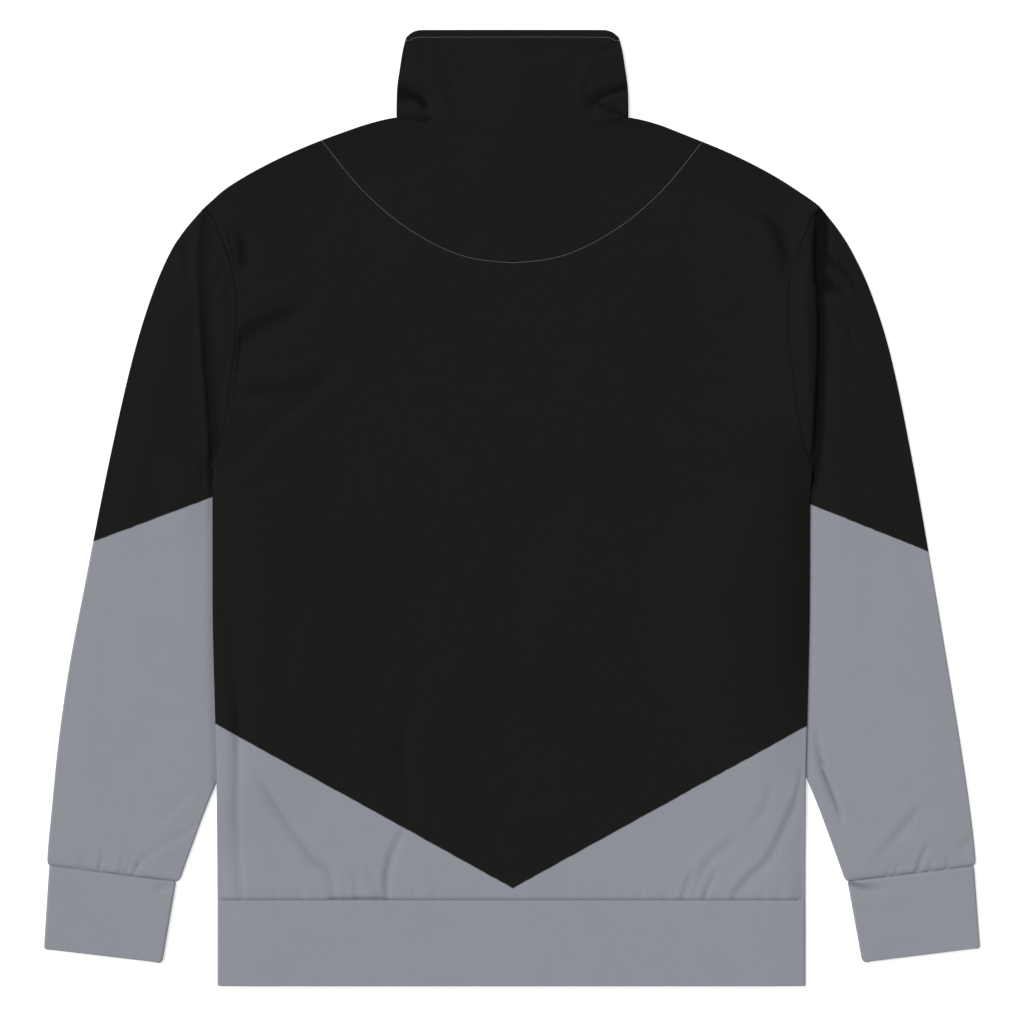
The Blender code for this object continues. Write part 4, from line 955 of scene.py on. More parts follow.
def panel(name, foot, head, sides, neck, under, finish):
    """A body panel. foot and head are the places of its columns, and sides its two edge lines."""
    (first_x, first_y), (last_x, last_y) = sides
    u = ((foot - foot[0]) / (foot[-1] - foot[0]))[None, :]
    rise = (first_y - first_y[0]) / (first_y[-1] - first_y[0])
    plan = []
    for bottom, top, first, last in (
        (foot, head, first_x, last_x),
        (np.full(len(foot), first_y[0]), top_line(head, neck), first_y, last_y),
    ):
        value = mix(bottom[None, :], top[None, :], rise[:, None])
        value = value + (1 - u) * (first - mix(first[0], first[-1], rise))[:, None]
        plan.append(value + u * (last - mix(last[0], last[-1], rise))[:, None])
    x, y = plan
    flat = arc(fold_distance(x, y), FOLD_RADIUS)
    floor = body_floor(x, y)
    middle = (floor + plain_skin(x, y)) / 2
    if under:
        z = mix(middle - JOIN / 2, floor + CLOTH / 2, flat)
    else:
        z = mix(middle + JOIN / 2, body_skin(x, y) - CLOTH / 2, flat)
    folded = first_y <= NECK_Y - ARMPIT_DROP
    folds = [folded & (abs(end) > FRONT_EDGE_OUT) for end in (foot[0], foot[-1])]
    folds.append(np.abs(head) >= NECK_FOLD)
    return wall(name, np.stack([x, y, z], axis=2), CLOTH, finish, folds=folds)


def panel_columns(out, shoulder, neck):
    """Distances out of a half panel's columns, at its foot and at its head, from the side in."""
    steps = fold_steps(FOLD_RADIUS)
    shoulder = spaced(SHOULDER_LENGTH, *shoulder)
    lines = []
    for edge in (out[0], out[-1]):
        run = mix(edge - steps[-1], NECK_FOLD, shoulder / shoulder[-1])
        lines.append(np.concatenate([edge - steps[:-1], run, neck[1:]]))
    return lines


def make_back(finish):
    drops = side_rows(SPACING["back_hem"], SPACING["back_armhole"])
    neck = np.linspace(NECK_FOLD, 0, 40)
    (left, y), (right, _) = (side_line(drops, sign) for _, sign in SIDES)
    halves = [panel_columns(out, SPACING["back_shoulder"], neck) for out in (left, right)]
    foot, head = (np.concatenate([-a, b[-2::-1]]) for a, b in zip(*halves))
    item = panel("back_panel", foot, head, ((-left, y), (right, y)), back_neck_y, False, finish)
    mark_painted_shade(item, body_painted_shade)
    belongs(item, "jacket", "black_cloth", "back")


def make_front(side, sign, finish):
    out, y = side_line(side_rows(SPACING["front"], SPACING["front"]), sign)
    neck = mix(FRONT_EDGE_OUT, NECK_FOLD, np.linspace(1, 0, 19) ** CROWDING)
    foot, head = (sign * line for line in panel_columns(out, SPACING["front"], neck))
    rise = (y - y[0]) / (y[-1] - y[0])
    edge_top = front_neck_y(FRONT_EDGE_OUT) - JOIN / 2
    edge = (np.full(len(y), sign * FRONT_EDGE_OUT), mix(y[0], edge_top, rise))
    item = panel("front_panel_" + side, foot, head, ((sign * out, y), edge), front_neck_y, True, finish)
    belongs(item, "jacket", "black_cloth", "front_" + side)


# Sleeves and cuffs


def tube(name, sign, outer, inner, skin, cloth, finish, across, taper=1, turned=0, bulge=None):
    """A flattened tube through sections that run straight from an outer to an inner edge point.

    Edge points are (out, y) of the middle surface. cloth is each section's wall, which taper thins
    at a rounded end. turned sections lie inside the neighbouring piece. bulge moves the points
    outward, and across is the wanted spacing of the upper layer's points.
    """
    span = np.linalg.norm(inner - outer, axis=1)[:, None]
    steps = fold_steps(FOLD_RADIUS)
    flat = spaced(span.mean(), across / 3, across, 12, both=True)
    between = steps[-1] + (span - 2 * steps[-1]) * flat / flat[-1]
    ends = np.broadcast_to(steps[:-1], (len(span), len(steps) - 1))
    over = np.concatenate([ends, between, span - ends[:, ::-1]], axis=1)
    under = np.concatenate([ends, between[:, 2:-2:3], span - ends[:, ::-1]], axis=1)[:, -2:0:-1]
    place = np.concatenate([over, under], axis=1)
    share = (place / span)[..., None]
    points = mix(outer[:, None], inner[:, None], share)
    if bulge is not None:
        points[..., 0] += bulge(share[..., 0])
    x, y = sign * points[..., 0], points[..., 1]
    inset = cloth / 2 + TURNED_DOWN * turned
    top = np.maximum(skin(x, y), 2 * inset)
    upper = np.arange(place.shape[1]) < over.shape[1]
    middle = np.where(upper, top / 2, EDGE_PUFF / 2)
    level = np.where(upper, top - inset, inset)
    z = mix(middle, level, arc(np.minimum(place, span - place), FOLD_RADIUS))
    return wall(name, np.stack([x, y, z], axis=2), cloth * taper, finish, ring=True)


def inward_of(outer, inner):
    return (inner - outer) / np.linalg.norm(inner - outer, axis=1)[:, None]


def armhole_out(drop, sign):
    """Middle line of a sleeve's armhole edge, which leaves the body's side free at the armpit."""
    spare = UNDERARM[0].out + CLOTH / 2 - ARMPIT_OUT - ARMHOLE_JOIN / 2
    return body_edge(drop, sign) + ARMHOLE_JOIN / 2 + spare * past(drop, FREE_SIDE)


def make_sleeve(side, sign, finish):
    count = np.arange(len(SLEEVE_SECTIONS), dtype=float)
    overs, unders = np.array(SLEEVE_SECTIONS, float).T

    def edges(at):
        """Drops of the overarm and underarm at places along the sections, and the edges there."""
        over, under = flowing(count, overs, at), flowing(count, unders, at)
        outer = np.column_stack([smooth(OVERARM[side], over) - CLOTH / 2, NECK_Y - over])
        inner = np.column_stack([smooth(UNDERARM, under) + CLOTH / 2, NECK_Y - under])
        return over, outer, inner

    fine = np.linspace(0, count[-1], 2000)
    middle = sum(edges(fine)[1:]) / 2
    length = np.concatenate([[0], np.cumsum(np.linalg.norm(np.diff(middle, axis=0), axis=1))])
    beside = spaced(VALLEY_ZONE, *SPACING["armhole_valley"])
    beyond = length[-1] - spaced(length[-1] - VALLEY_ZONE, *SPACING["sleeve"])[::-1]
    at = np.interp(np.concatenate([beside, beyond[1:]]), length, fine)
    over, outer, inner = edges(at)
    outer[0, 0] = armhole_out(ARMHOLE_TOP, sign)
    left = (length[-1] - np.interp(at, fine, length))[:, None]
    turn = SLEEVE_CORNER_IN * (1 - arc(left, SLEEVE_CORNER)) * inward_of(outer, inner)
    first, last = outer[0, 0], inner[0, 0]
    outer, inner = outer + turn, inner - turn
    outer, inner = (np.concatenate([edge[[0, 0]], edge]) for edge in (outer, inner))
    over = np.concatenate([over[[0, 0]], over])
    inside = np.concatenate([[TURNED_IN, TURN_STEP], 0 * at])[:, None]

    def bulge(place):
        armhole = armhole_out(mix(ARMHOLE_TOP, ARMPIT_DROP, place), sign)
        fade = np.maximum(0, 1 - (over - ARMHOLE_TOP) / ARMHOLE_FADE)[:, None] ** 2
        return fade * (armhole - mix(first, last, place)) - inside

    name = "sleeve_cloth_" + side
    skin = partial(sleeve_skin, side)
    item = tube(name, sign, outer, inner, skin, CLOTH, finish, 3.0, turned=inside > 0, bulge=bulge)
    mark_painted_shade(item, partial(fold_painted_shade, SLEEVE_FOLDS[side]))
    belongs(item, "jacket", "black_cloth", "sleeve_" + side)


def band_cloth(distance):
    """Thickness of a doubled band at a distance from the seam where its two layers meet."""
    return mix(CLOTH, DOUBLED, arc(distance, BAND_ROLL[0]))


def rounded(distance):
    """Share of a doubled band's thickness at a distance in from its rounded edge."""
    return np.maximum(arc(distance, DOUBLED / 2), THIN_END)


def make_cuff(side, sign, finish):
    cuff = CUFFS[side]
    length = cuff.out_drop - cuff.seam_out_drop
    down = spaced(length - DOUBLED / 2 - JOIN, *SPACING["cuff"], both=True)
    down = np.concatenate([down, length - JOIN - fold_steps(DOUBLED / 2)[-2::-1]])
    share = (down / length)[:, None]
    edges = []
    for start_out, start_drop, end_out, end_drop in (
        (cuff.seam_out - DOUBLED / 2, cuff.seam_out_drop, cuff.out - DOUBLED / 2, cuff.out_drop),
        (cuff.seam_in + DOUBLED / 2, cuff.seam_in_drop, cuff.inner + DOUBLED / 2, cuff.inner_drop),
    ):
        start = np.array([start_out, NECK_Y - start_drop - JOIN])
        edges.append(mix(start, np.array([end_out, NECK_Y - end_drop]), share))
    outer, inner = edges
    left = length - JOIN - down
    inward = inward_of(outer, inner)
    outer_turn, inner_turn = (size * (1 - arc(left, size))[:, None] for size in CUFF_CORNER)
    outer, inner = outer + outer_turn * inward, inner - inner_turn * inward
    up = np.array([[TURNED_IN], [TURN_STEP]]) * [0, 1]
    outer = np.concatenate([outer[0] + up + CLOTH * inward[0], outer])
    inner = np.concatenate([inner[0] + up - CLOTH * inward[0], inner])
    turned = (np.arange(len(outer)) < len(up))[:, None]
    cloth = np.where(turned, CLOTH, band_cloth(np.concatenate([[0, 0], down])[:, None]))
    taper = np.concatenate([[1, 1], rounded(left)])[:, None]
    name, skin = "cuff_cloth_" + side, partial(cuff_skin, side)
    item = tube(name, sign, outer, inner, skin, cloth, finish, 2.4, taper, turned)
    mark_painted_shade(item, partial(fold_painted_shade, CUFF_FOLDS[side]))
    belongs(item, "jacket", "grey_cloth", "cuff_" + side)


# Collar and hem band


def band_columns(half, radius, lower, upper):
    """Places across and levels, 0 the lower layer and 1 the upper, from a zip edge to the middle.

    lower and upper give each layer's places, fold to middle, as shares of its flat run.
    """
    angles = np.linspace(-np.pi / 2, np.pi / 2, 13)
    lower = mix(FRONT_EDGE_OUT, half - radius, lower)[:0:-1]
    upper = (half - radius) * upper[1:]
    out = np.concatenate([lower, half - radius * (1 - np.cos(angles)), upper])
    level = np.concatenate([lower * 0, (1 + np.sin(angles)) / 2, upper * 0 + 1])
    return out, level


def both_halves(left, right):
    return np.concatenate([left, right[-2::-1]])


def make_collar(finish):
    corner_out = COLLAR_SIDE[-1].out
    shares = (np.linspace(1, 0, 25) ** CROWDING, 1 - spaced(1, *COLLAR_SHARES))
    height = TOP_Y - back_neck_y(0)
    down = DOUBLED / 2 + spaced(height - DOUBLED / 2, *SPACING["collar"])
    down = np.concatenate([fold_steps(DOUBLED / 2)[:-1], down])
    up = 1 - down[::-1] / down[-1]
    up = np.concatenate([[-TURNED_IN / height, -TURN_STEP / height, 0, 0.006, 0.014, 0.024], up[up > 0.03]])
    front_middle = NECK_Y - FRONT_NECK_DROP + FRONT_COLLAR_HEIGHT
    grid, thickness = [], []
    for v in up:
        turned = v < 0
        half = smooth(COLLAR_SIDE, v) - DOUBLED / 2 - CLOTH * turned
        out, level = band_columns(half, COLLAR_RADIUS, *shares)
        back_top = collar_top_y(out * corner_out / half)
        front_top = mix(front_middle, TOP_Y - COLLAR_CORNER_Y, (out / half) ** FRONT_COLLAR_POWER)
        base = out * NECK_FOLD / half
        back_y = mix(back_neck_y(base) + JOIN, back_top, v)
        front_y = mix(front_neck_y(base) + JOIN, front_top, v)
        y = np.where(level > 0.5, back_y, front_y)
        x, y, level = both_halves(-out, out), both_halves(y, y), both_halves(level, level)
        cloth = CLOTH if turned else DOUBLED
        inset = cloth / 2 + TURNED_DOWN * turned
        floor, skin = body_floor(x, y) + inset, collar_skin(x, y) - inset
        grid.append(np.column_stack([x, y, mix(floor, skin, level)]))
        thickness.append(np.full(len(x), cloth * rounded((1 - v) * height)))
    item = wall("collar_cloth", np.array(grid), np.array(thickness), finish)
    mark_painted_shade(item, partial(fold_painted_shade, COLLAR_FOLDS))
    belongs(item, "jacket", "black_cloth", "collar")


def make_hem_band(finish):
    radius = (BAND_EDGE_PUFF - DOUBLED) / 2
    length = HEM_SEAM_Y - JOIN / 2 - HEM_Y
    up = length - spaced(length - DOUBLED / 2, *SPACING["hem_band"])[::-1]
    up = np.concatenate([fold_steps(DOUBLED / 2)[:-1], up, [length + TURN_STEP, length + TURNED_IN]])
    shares = [1 - spaced(1, *spacing) for spacing in BAND_SHARES]
    grid, thickness = [], []
    for at in up:
        turned = at > length
        cloth = CLOTH if turned else band_cloth(length - at)
        inset = cloth / 2 + CLOTH * turned
        left, right = (
            band_columns(body_edge(HEM_DROP, sign) - inset, radius, *shares) for _, sign in SIDES
        )
        x, level = both_halves(-left[0], right[0]), both_halves(left[1], right[1])
        over_zip = level * (1 - ease((np.abs(x) - TAPE_OUT - 1) / 5))
        y = HEM_Y + mix(at, min(at, length + TRIMMED_IN), over_zip)
        inset = cloth / 2 + TURNED_DOWN * turned * (1 - over_zip)
        grid.append(np.column_stack([x, y, mix(inset, band_skin(x, y) - inset, level)]))
        thickness.append(np.full(len(x), cloth * rounded(at)))
    item = wall("hem_band_cloth", np.array(grid), np.array(thickness), finish)
    belongs(item, "jacket", "grey_cloth", "hem_band")


# Zip


def tape_middle(x, y):
    """Height of the tape's middle, which follows the cloth below it."""
    up_to_band = ease((HEM_SEAM_Y + TAPE_STEP + 1 - y) / TAPE_STEP)
    up_to_collar = ease((y - front_neck_y(0) + TAPE_STEP + 1) / TAPE_STEP)
    cloth = mix(CLOTH, DOUBLED, np.maximum(up_to_band, up_to_collar))
    return cloth + TAPE_RISE + TAPE / 2 + zip_lift(x, y)


def make_tape(side, sign, finish):
    """A woven tape with a thick cord along its inner edge, which the teeth clasp."""
    collar_top = front_neck_y(0) + FRONT_COLLAR_HEIGHT
    y = np.linspace(HEM_Y + TAPE_END, collar_top - TAPE_END, 260)
    x, thick = np.array(TAPE_SECTION).T
    grid = np.stack([*np.meshgrid(sign * x, y), tape_middle(*np.meshgrid(x, y))], axis=2)
    item = wall("zip_tape_" + side, grid, thick, finish)
    belongs(item, "jacket", "zip_tape", "zip_" + side)


# Geometry Nodes for what repeats along a path


def path_object(name, points):
    """A chain of edges through points in millimetres."""
    mesh = bpy.data.meshes.new(name)
    edges = [(i, i + 1) for i in range(len(points) - 1)]
    mesh.from_pydata((np.array(points) * MM).tolist(), edges, [])
    return placed(name, mesh)


def node_in(tree, kind, inputs=None, **settings):
    """A node with its settings made and its inputs set or linked."""
    made = tree.nodes.new(kind)
    for key, value in settings.items():
        setattr(made, key, value)
    for key, value in (inputs or {}).items():
        if isinstance(value, bpy.types.NodeSocket):
            tree.links.new(value, made.inputs[key])
        else:
            made.inputs[key].default_value = value
    return made


def repeat_tree(name, sizes, shape):
    """A tree that sets shape(tree, group inputs) along the path, one every Pitch."""
    tree = bpy.data.node_groups.new(name, "GeometryNodeTree")
    for socket, direction, kind in (
        ("Geometry", "INPUT", "NodeSocketGeometry"),
        ("Geometry", "OUTPUT", "NodeSocketGeometry"),
        *((size, "INPUT", "NodeSocketFloat") for size in sizes),
        ("Finish", "INPUT", "NodeSocketMaterial"),
    ):
        tree.interface.new_socket(socket, in_out=direction, socket_type=kind)
    given = tree.nodes.new("NodeGroupInput").outputs

    def step(kind, inputs=None, **settings):
        return node_in(tree, kind, inputs, **settings).outputs[0]

    curve = step("GeometryNodeMeshToCurve", {"Mesh": given["Geometry"]})
    places = {"Curve": curve, "Length": given["Pitch"]}
    places = step("GeometryNodeResampleCurve", places, mode="LENGTH")
    tangent = step("GeometryNodeInputTangent")
    turn = step("FunctionNodeAlignRotationToVector", {"Vector": tangent}, axis="X")
    made = {"Points": places, "Instance": shape(tree, given), "Rotation": turn}
    real = step("GeometryNodeRealizeInstances", {"Geometry": step("GeometryNodeInstanceOnPoints", made)})
    painted = step("GeometryNodeSetMaterial", {"Geometry": real, "Material": given["Finish"]})
    tree.links.new(painted, tree.nodes.new("NodeGroupOutput").inputs[0])
    return tree


def repeated(path, tree, values, finish):
    """Runs a tree over a path and keeps the result as the path object's own plain mesh."""
    modifier = path.modifiers.new(tree.name, "NODES")
    modifier.node_group = tree
    values = dict(values, Finish=finish)
    for socket in tree.interface.items_tree:
        if socket.name in values:
            modifier[socket.identifier] = values[socket.name]
    evaluated = path.evaluated_get(bpy.context.evaluated_depsgraph_get())
    mesh = bpy.data.meshes.new_from_object(evaluated)
    path.modifiers.clear()
    path.data = mesh
    smoothed(mesh)
    return path


def scaled(tree, geometry, x, y, z):
    size = node_in(tree, "ShaderNodeCombineXYZ", {"X": x, "Y": y, "Z": z}).outputs[0]
    return node_in(tree, "GeometryNodeTransform", {"Geometry": geometry, "Scale": size}).outputs[0]


def stitch_shape(tree, given):
    """One stitch of thread: a long bead that dips into the cloth at both ends."""
    bead = node_in(tree, "GeometryNodeMeshUVSphere", {"Segments": 8, "Rings": 6, "Radius": 0.5})
    return scaled(tree, bead.outputs[0], given["Length"], given["Width"], given["Width"])


def tooth_shape(tree, given):
    """One moulded tooth: a block that clasps the tape, with a narrower head beyond its edge."""
    block = node_in(tree, "GeometryNodeMeshCube", {"Size": (1, 1, 1)})
    head = node_in(tree, "GeometryNodeMeshCylinder", {"Vertices": 10, "Radius": 0.5, "Depth": 0.8})
    joined = tree.nodes.new("GeometryNodeJoinGeometry")
    for part, size, shift in (
        (block, (0.5, 0.62, 1.0), 0.19),
        (head, (0.52, 0.5, 1.0), -0.25),
    ):
        shaped = {"Geometry": part.outputs[0], "Scale": size, "Translation": (0, shift, 0)}
        moved = node_in(tree, "GeometryNodeTransform", shaped)
        tree.links.new(moved.outputs[0], joined.inputs[0])
    return scaled(tree, joined.outputs[0], given["Pitch"], given["Reach"], given["Height"])


def stitch_row(name, points, tree, finish, slot, width=STITCH_WIDTH):
    values = {"Pitch": STITCH_PITCH * MM, "Length": STITCH * MM, "Width": width * MM}
    belongs(repeated(path_object(name, points), tree, values, finish), "jacket", slot)


def make_stitching(light, dark):
    """Topstitching of the half moon and of the collar's top, and the rows that hold the zip."""
    tree = repeat_tree("stitches", ("Pitch", "Length", "Width"), stitch_shape)
    x = np.linspace(-YOKE_STITCH_OUT, YOKE_STITCH_OUT, 161)
    y = YOKE_Y + smooth(YOKE, np.abs(x))
    points = np.column_stack([x, y, body_skin(x, y) + STITCH_RISE])
    stitch_row("yoke_stitching", points, tree, light, "grey_cloth")
    x = np.linspace(-COLLAR_STITCH_OUT, COLLAR_STITCH_OUT, 81)
    y = np.maximum(collar_top_y(x), TOP_Y - COLLAR_STITCH_SINK) - COLLAR_STITCH
    points = np.column_stack([x, y, collar_skin(x, y) + STITCH_RISE])
    stitch_row("collar_stitching", points, tree, light, "grey_cloth")
    low, high = FRONT_STITCH_ENDS
    for side, sign in SIDES:
        y = np.linspace(HEM_SEAM_Y + low, front_neck_y(0) - high, 120)
        x = np.full(len(y), sign * (FRONT_EDGE_OUT + FRONT_STITCH_IN))
        points = np.column_stack([x, y, body_floor(x, y) + FRONT_STITCH_RISE])
        stitch_row("front_stitching_" + side, points, tree, dark, "black_cloth", FRONT_STITCH_WIDTH)


def make_teeth(finish):
    tree = repeat_tree("zip_teeth", ("Pitch", "Reach", "Height"), tooth_shape)
    values = {"Pitch": TOOTH_PITCH * MM, "Reach": TOOTH_REACH * MM, "Height": TOOTH_HEIGHT * MM}
    start, end = HEM_Y + BOX_LENGTH + TEETH_ABOVE_BOX, SLIDER_Y - TEETH_BELOW_SLIDER
    for (side, sign), shift in zip(SIDES, (0, TOOTH_PITCH / 2)):
        y = np.linspace(start + shift, end + shift - TOOTH_PITCH, 200)
        x = np.full(len(y), sign * TOOTH_OUT)
        points = np.column_stack([x, y, tape_middle(0 * x, y)])
        path = path_object("zip_teeth_" + side, points if sign < 0 else points[::-1])
        belongs(repeated(path, tree, values, finish), "jacket", "zip_plastic")


# Finishes


def surface_of(name, colour, roughness, specular, metallic=0.0):
    """A new material and its main shader, with the numbers that are the same all over."""
    material = bpy.data.materials.new(name)
    material.use_nodes = True
    shader = material.node_tree.nodes["Principled BSDF"]
    shader.inputs["Base Color"].default_value = (*colour, 1)
    shader.inputs["Roughness"].default_value = roughness
    shader.inputs["Specular IOR Level"].default_value = specular
    shader.inputs["Metallic"].default_value = metallic
    return material, shader


def calc(tree, operation, *values):
    return node_in(tree, "ShaderNodeMath", dict(enumerate(values)), operation=operation).outputs[0]


def parts_of(tree, place):
    return node_in(tree, "ShaderNodeSeparateXYZ", {"Vector": place}).outputs


def object_place(tree):
    """A point in the jacket's own frame, in metres."""
    return tree.nodes.new("ShaderNodeTexCoord").outputs["Object"]


def cloth_place(tree):
    """A point on the piece's own UV map, in metres."""
    return parts_of(tree, node_in(tree, "ShaderNodeUVMap", uv_map="cloth").outputs[0])


def noise_at(tree, place, scale, detail=2.0):
    inputs = {"Vector": place, "Scale": scale, "Detail": detail}
    return node_in(tree, "ShaderNodeTexNoise", inputs).outputs["Fac"]


def bump_of(tree, shader, height, strength, distance, normal=None):
    """Gives a shader a bump, over another one where there is one."""
    inputs = {"Height": height, "Strength": strength, "Distance": distance * MM}
    if normal is not None:
        inputs["Normal"] = normal
    bump = node_in(tree, "ShaderNodeBump", inputs).outputs[0]
    tree.links.new(bump, shader.inputs["Normal"])
    return bump


def knit_height(tree):
    """The face of a fine knit: columns of small V stitches."""
    u, v, _ = cloth_place(tree)
    wale = calc(tree, "MULTIPLY", u, 1 / (WALE * MM))
    beside = calc(tree, "ABSOLUTE", calc(tree, "SUBTRACT", calc(tree, "FRACT", wale), 0.5))
    course = calc(tree, "ADD", calc(tree, "MULTIPLY", v, 1 / (COURSE * MM)), beside)
    leg = calc(tree, "ABSOLUTE", calc(tree, "SINE", calc(tree, "MULTIPLY", course, math.pi)))
    groove = calc(tree, "SINE", calc(tree, "MULTIPLY", beside, math.pi))
    return calc(tree, "MULTIPLY", calc(tree, "POWER", leg, 0.7), calc(tree, "SUBTRACT", 1.2, groove))


def border_mask(tree, border, mirrored):
    """1 where the print is black and 0 where it is grey, with a soft and slightly uneven edge."""
    place = object_place(tree)
    x, y, _ = parts_of(tree, place)
    if mirrored:
        x = calc(tree, "ABSOLUTE", calc(tree, "SUBTRACT", x, border.x * MM))
        x = calc(tree, "ADD", x, border.x * MM)
    slope = (border.to_y - border.y) / (border.to_x - border.x)
    line = calc(tree, "MULTIPLY_ADD", x, slope, (border.y - slope * border.x) * MM)
    noise = noise_at(tree, place, scale=110.0, detail=3.0)
    wander = calc(tree, "MULTIPLY_ADD", noise, 2 * BORDER_WANDER * MM, -BORDER_WANDER * MM)
    above = calc(tree, "SUBTRACT", calc(tree, "SUBTRACT", y, line), wander)
    inputs = {"Value": above, "From Min": -BORDER_BLUR * MM, "From Max": BORDER_BLUR * MM}
    mask = node_in(tree, "ShaderNodeMapRange", inputs, interpolation_type="SMOOTHSTEP")
    return mask.outputs["Result"]


def cloth_finish(name, colour, border=None, mirrored=False):
    """Printed double knit: matt, faintly uneven, darkened by painted shade where its piece marks it, with a
    fine knitted face.
    """
    material, shader = surface_of(name, colour, roughness=0.92, specular=0.04)
    tree = material.node_tree
    place = object_place(tree)
    plain = colour
    if border:
        # A Mix node's colour sockets share their names with others, so they go by their places
        inputs = {0: border_mask(tree, border, mirrored), 6: (*GREY_CLOTH, 1), 7: (*BLACK_CLOTH, 1)}
        plain = node_in(tree, "ShaderNodeMix", inputs, data_type="RGBA").outputs[2]
    cloudy = noise_at(tree, place, scale=9.0, detail=3.0)
    grainy = noise_at(tree, place, scale=520.0)
    patchy = noise_at(tree, place, scale=62.0)
    uneven = calc(tree, "MULTIPLY_ADD", cloudy, 0.05, 0.93)
    uneven = calc(tree, "MULTIPLY_ADD", patchy, 0.04, calc(tree, "SUBTRACT", uneven, 0.025))
    uneven = calc(tree, "MULTIPLY_ADD", grainy, 0.10, uneven)
    # Painted shade: the attribute, where a piece has one, darkens the colour in deep folds, and on the back
    # also along the shoulders and beside the right side fold
    painted_shade = node_in(tree, "ShaderNodeAttribute", attribute_name="painted_shade").outputs["Fac"]
    uneven = calc(tree, "MULTIPLY", uneven, calc(tree, "MULTIPLY_ADD", painted_shade, -PAINTED_SHADE_DARK, 1.0))
    shaded = node_in(tree, "ShaderNodeVectorMath", {0: plain, 1: uneven}, operation="MULTIPLY")
    tree.links.new(shaded.outputs[0], shader.inputs["Base Color"])
    nap = bump_of(tree, shader, grainy, strength=0.12, distance=0.2)
    bump_of(tree, shader, knit_height(tree), strength=0.25, distance=0.12, normal=nap)
    return material


def thread_finish(name, colour):
    """Spun thread with its twist."""
    material, shader = surface_of(name, colour, roughness=0.6, specular=0.3)
    tree = material.node_tree
    inputs = {"Vector": object_place(tree), "Scale": 900.0, "Distortion": 1.0}
    twist = node_in(tree, "ShaderNodeTexWave", inputs, wave_type="BANDS", bands_direction="DIAGONAL")
    bump_of(tree, shader, twist.outputs["Fac"], strength=0.4, distance=0.1)
    return material


def tape_finish():
    """Plain woven polyester tape."""
    material, shader = surface_of("woven_tape", ZIP_TAPE, roughness=0.75, specular=0.3)
    tree = material.node_tree
    warp, weft = (
        calc(tree, "SINE", calc(tree, "MULTIPLY", part, 2 * math.pi / (pitch * MM)))
        for part, pitch in zip(cloth_place(tree), (0.9, 0.7))
    )
    bump_of(tree, shader, calc(tree, "MULTIPLY", warp, weft), strength=0.5, distance=0.15)
    return material


def moulded_finish(name, colour, roughness, metallic=0.0):
    """Moulded plastic or enamelled metal, with faint waves and rubbed patches."""
    material, shader = surface_of(name, colour, roughness, 0.5, metallic)
    tree = material.node_tree
    rubbing_and_side_shade = noise_at(tree, object_place(tree), scale=260.0, detail=4.0)
    rough = calc(tree, "MULTIPLY_ADD", rubbing_and_side_shade, 0.25, roughness - 0.12)
    tree.links.new(rough, shader.inputs["Roughness"])
    bump_of(tree, shader, rubbing_and_side_shade, strength=0.15, distance=0.1)
    return material


def refinish(node, finish):
    """Gives a CAD node that stays in sight a better material."""
    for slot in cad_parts[node].material_slots:
        slot.material = finish


# Stage


CAMERA_HEIGHT = 4725.0
CAMERA_LENS = 200.0
SENSOR = 36.0
VIEW_CENTRE = (-0.4, -3.3)
DOME = 0.42
KEY = 2.2
KEY_FROM = (-0.5, 0.36, 0.9)
KEY_SPREAD = 40.0
FLOOR_SIZE = 9.0
FLOOR_DROP = 0.3
FLOOR_WHITE = (0.85, 0.85, 0.85)
FLOOR_GLOW = 0.45


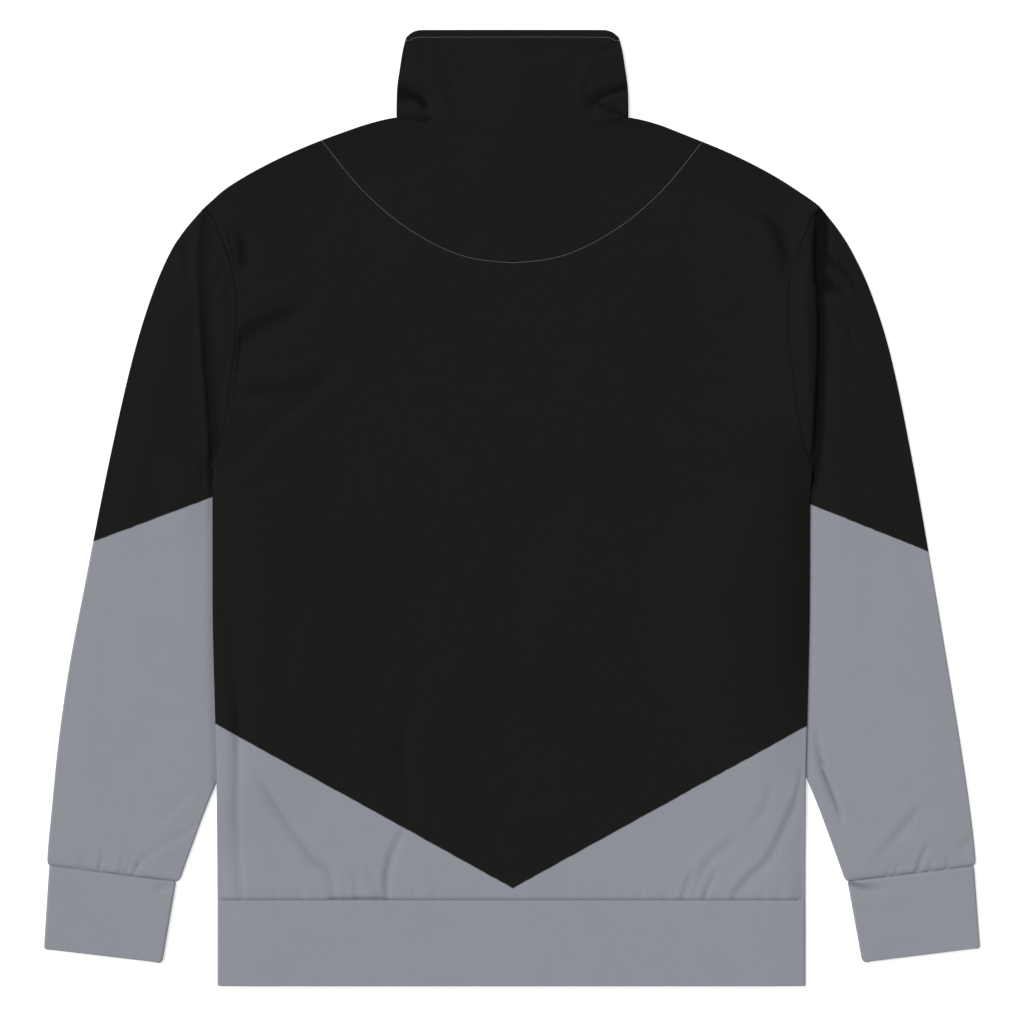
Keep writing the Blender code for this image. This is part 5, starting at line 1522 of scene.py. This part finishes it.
def make_stage():
    scene = bpy.context.scene
    lens = bpy.data.cameras.new("camera")
    lens.lens = CAMERA_LENS
    lens.sensor_width = SENSOR
    lens.clip_end = 50.0
    scene.camera = placed("camera", lens)
    scene.camera.location = (VIEW_CENTRE[0] * MM, VIEW_CENTRE[1] * MM, CAMERA_HEIGHT * MM)

    sun = bpy.data.lights.new("key_light", "SUN")
    sun.energy = KEY
    sun.angle = math.radians(KEY_SPREAD)
    x, y, z = KEY_FROM
    turn = (math.atan2(math.hypot(x, y), z), 0, math.atan2(y, x) + math.pi / 2)
    placed("key_light", sun).rotation_euler = turn

    world = bpy.data.worlds.new("studio")
    world.use_nodes = True
    world.node_tree.nodes["Background"].inputs["Color"].default_value = (1, 1, 1, 1)
    world.node_tree.nodes["Background"].inputs["Strength"].default_value = DOME
    scene.world = world
    scene.view_settings.view_transform = "Standard"

    half, z = FLOOR_SIZE / 2, -FLOOR_DROP * MM
    corners = [(-half, -half, z), (half, -half, z), (half, half, z), (-half, half, z)]
    mesh = bpy.data.meshes.new("floor")
    mesh.from_pydata(corners, [], [(0, 1, 2, 3)])
    material, shader = surface_of("white_table", FLOOR_WHITE, roughness=0.9, specular=0.2)
    shader.inputs["Emission Color"].default_value = (1, 1, 1, 1)
    shader.inputs["Emission Strength"].default_value = FLOOR_GLOW
    mesh.materials.append(material)
    placed("floor", mesh)


# A record for a sheet's cut, which nothing here fills: width, length and flat area in metres, and what it
# lies on
Cut = namedtuple("Cut", "width length area rests_on")


def main():
    body_cloth = cloth_finish("body_cloth", BLACK_CLOTH, BODY_BORDER, mirrored=True)
    black = cloth_finish("black_knit", BLACK_CLOTH)
    grey = cloth_finish("grey_knit", GREY_CLOTH)
    make_back(body_cloth)
    for side, sign in SIDES:
        make_front(side, sign, body_cloth)
        make_sleeve(side, sign, cloth_finish("sleeve_cloth_" + side, BLACK_CLOTH, SLEEVE_BORDER[side]))
        make_cuff(side, sign, grey)
    make_collar(black)
    make_hem_band(grey)
    tape = tape_finish()
    for side, sign in SIDES:
        make_tape(side, sign, tape)
    make_teeth(moulded_finish("moulded_teeth", MOULDED_BLACK, roughness=0.45))
    make_stitching(thread_finish("light_thread", THREAD), thread_finish("black_thread", BLACK_THREAD))
    enamel = moulded_finish("black_enamel", ENAMEL_BLACK, roughness=0.3, metallic=0.4)
    refinish("zip_slider", enamel)
    refinish("zip_pull", enamel)
    refinish("zip_box", moulded_finish("moulded_box", MOULDED_BLACK, roughness=0.4))
    make_stage()


main()
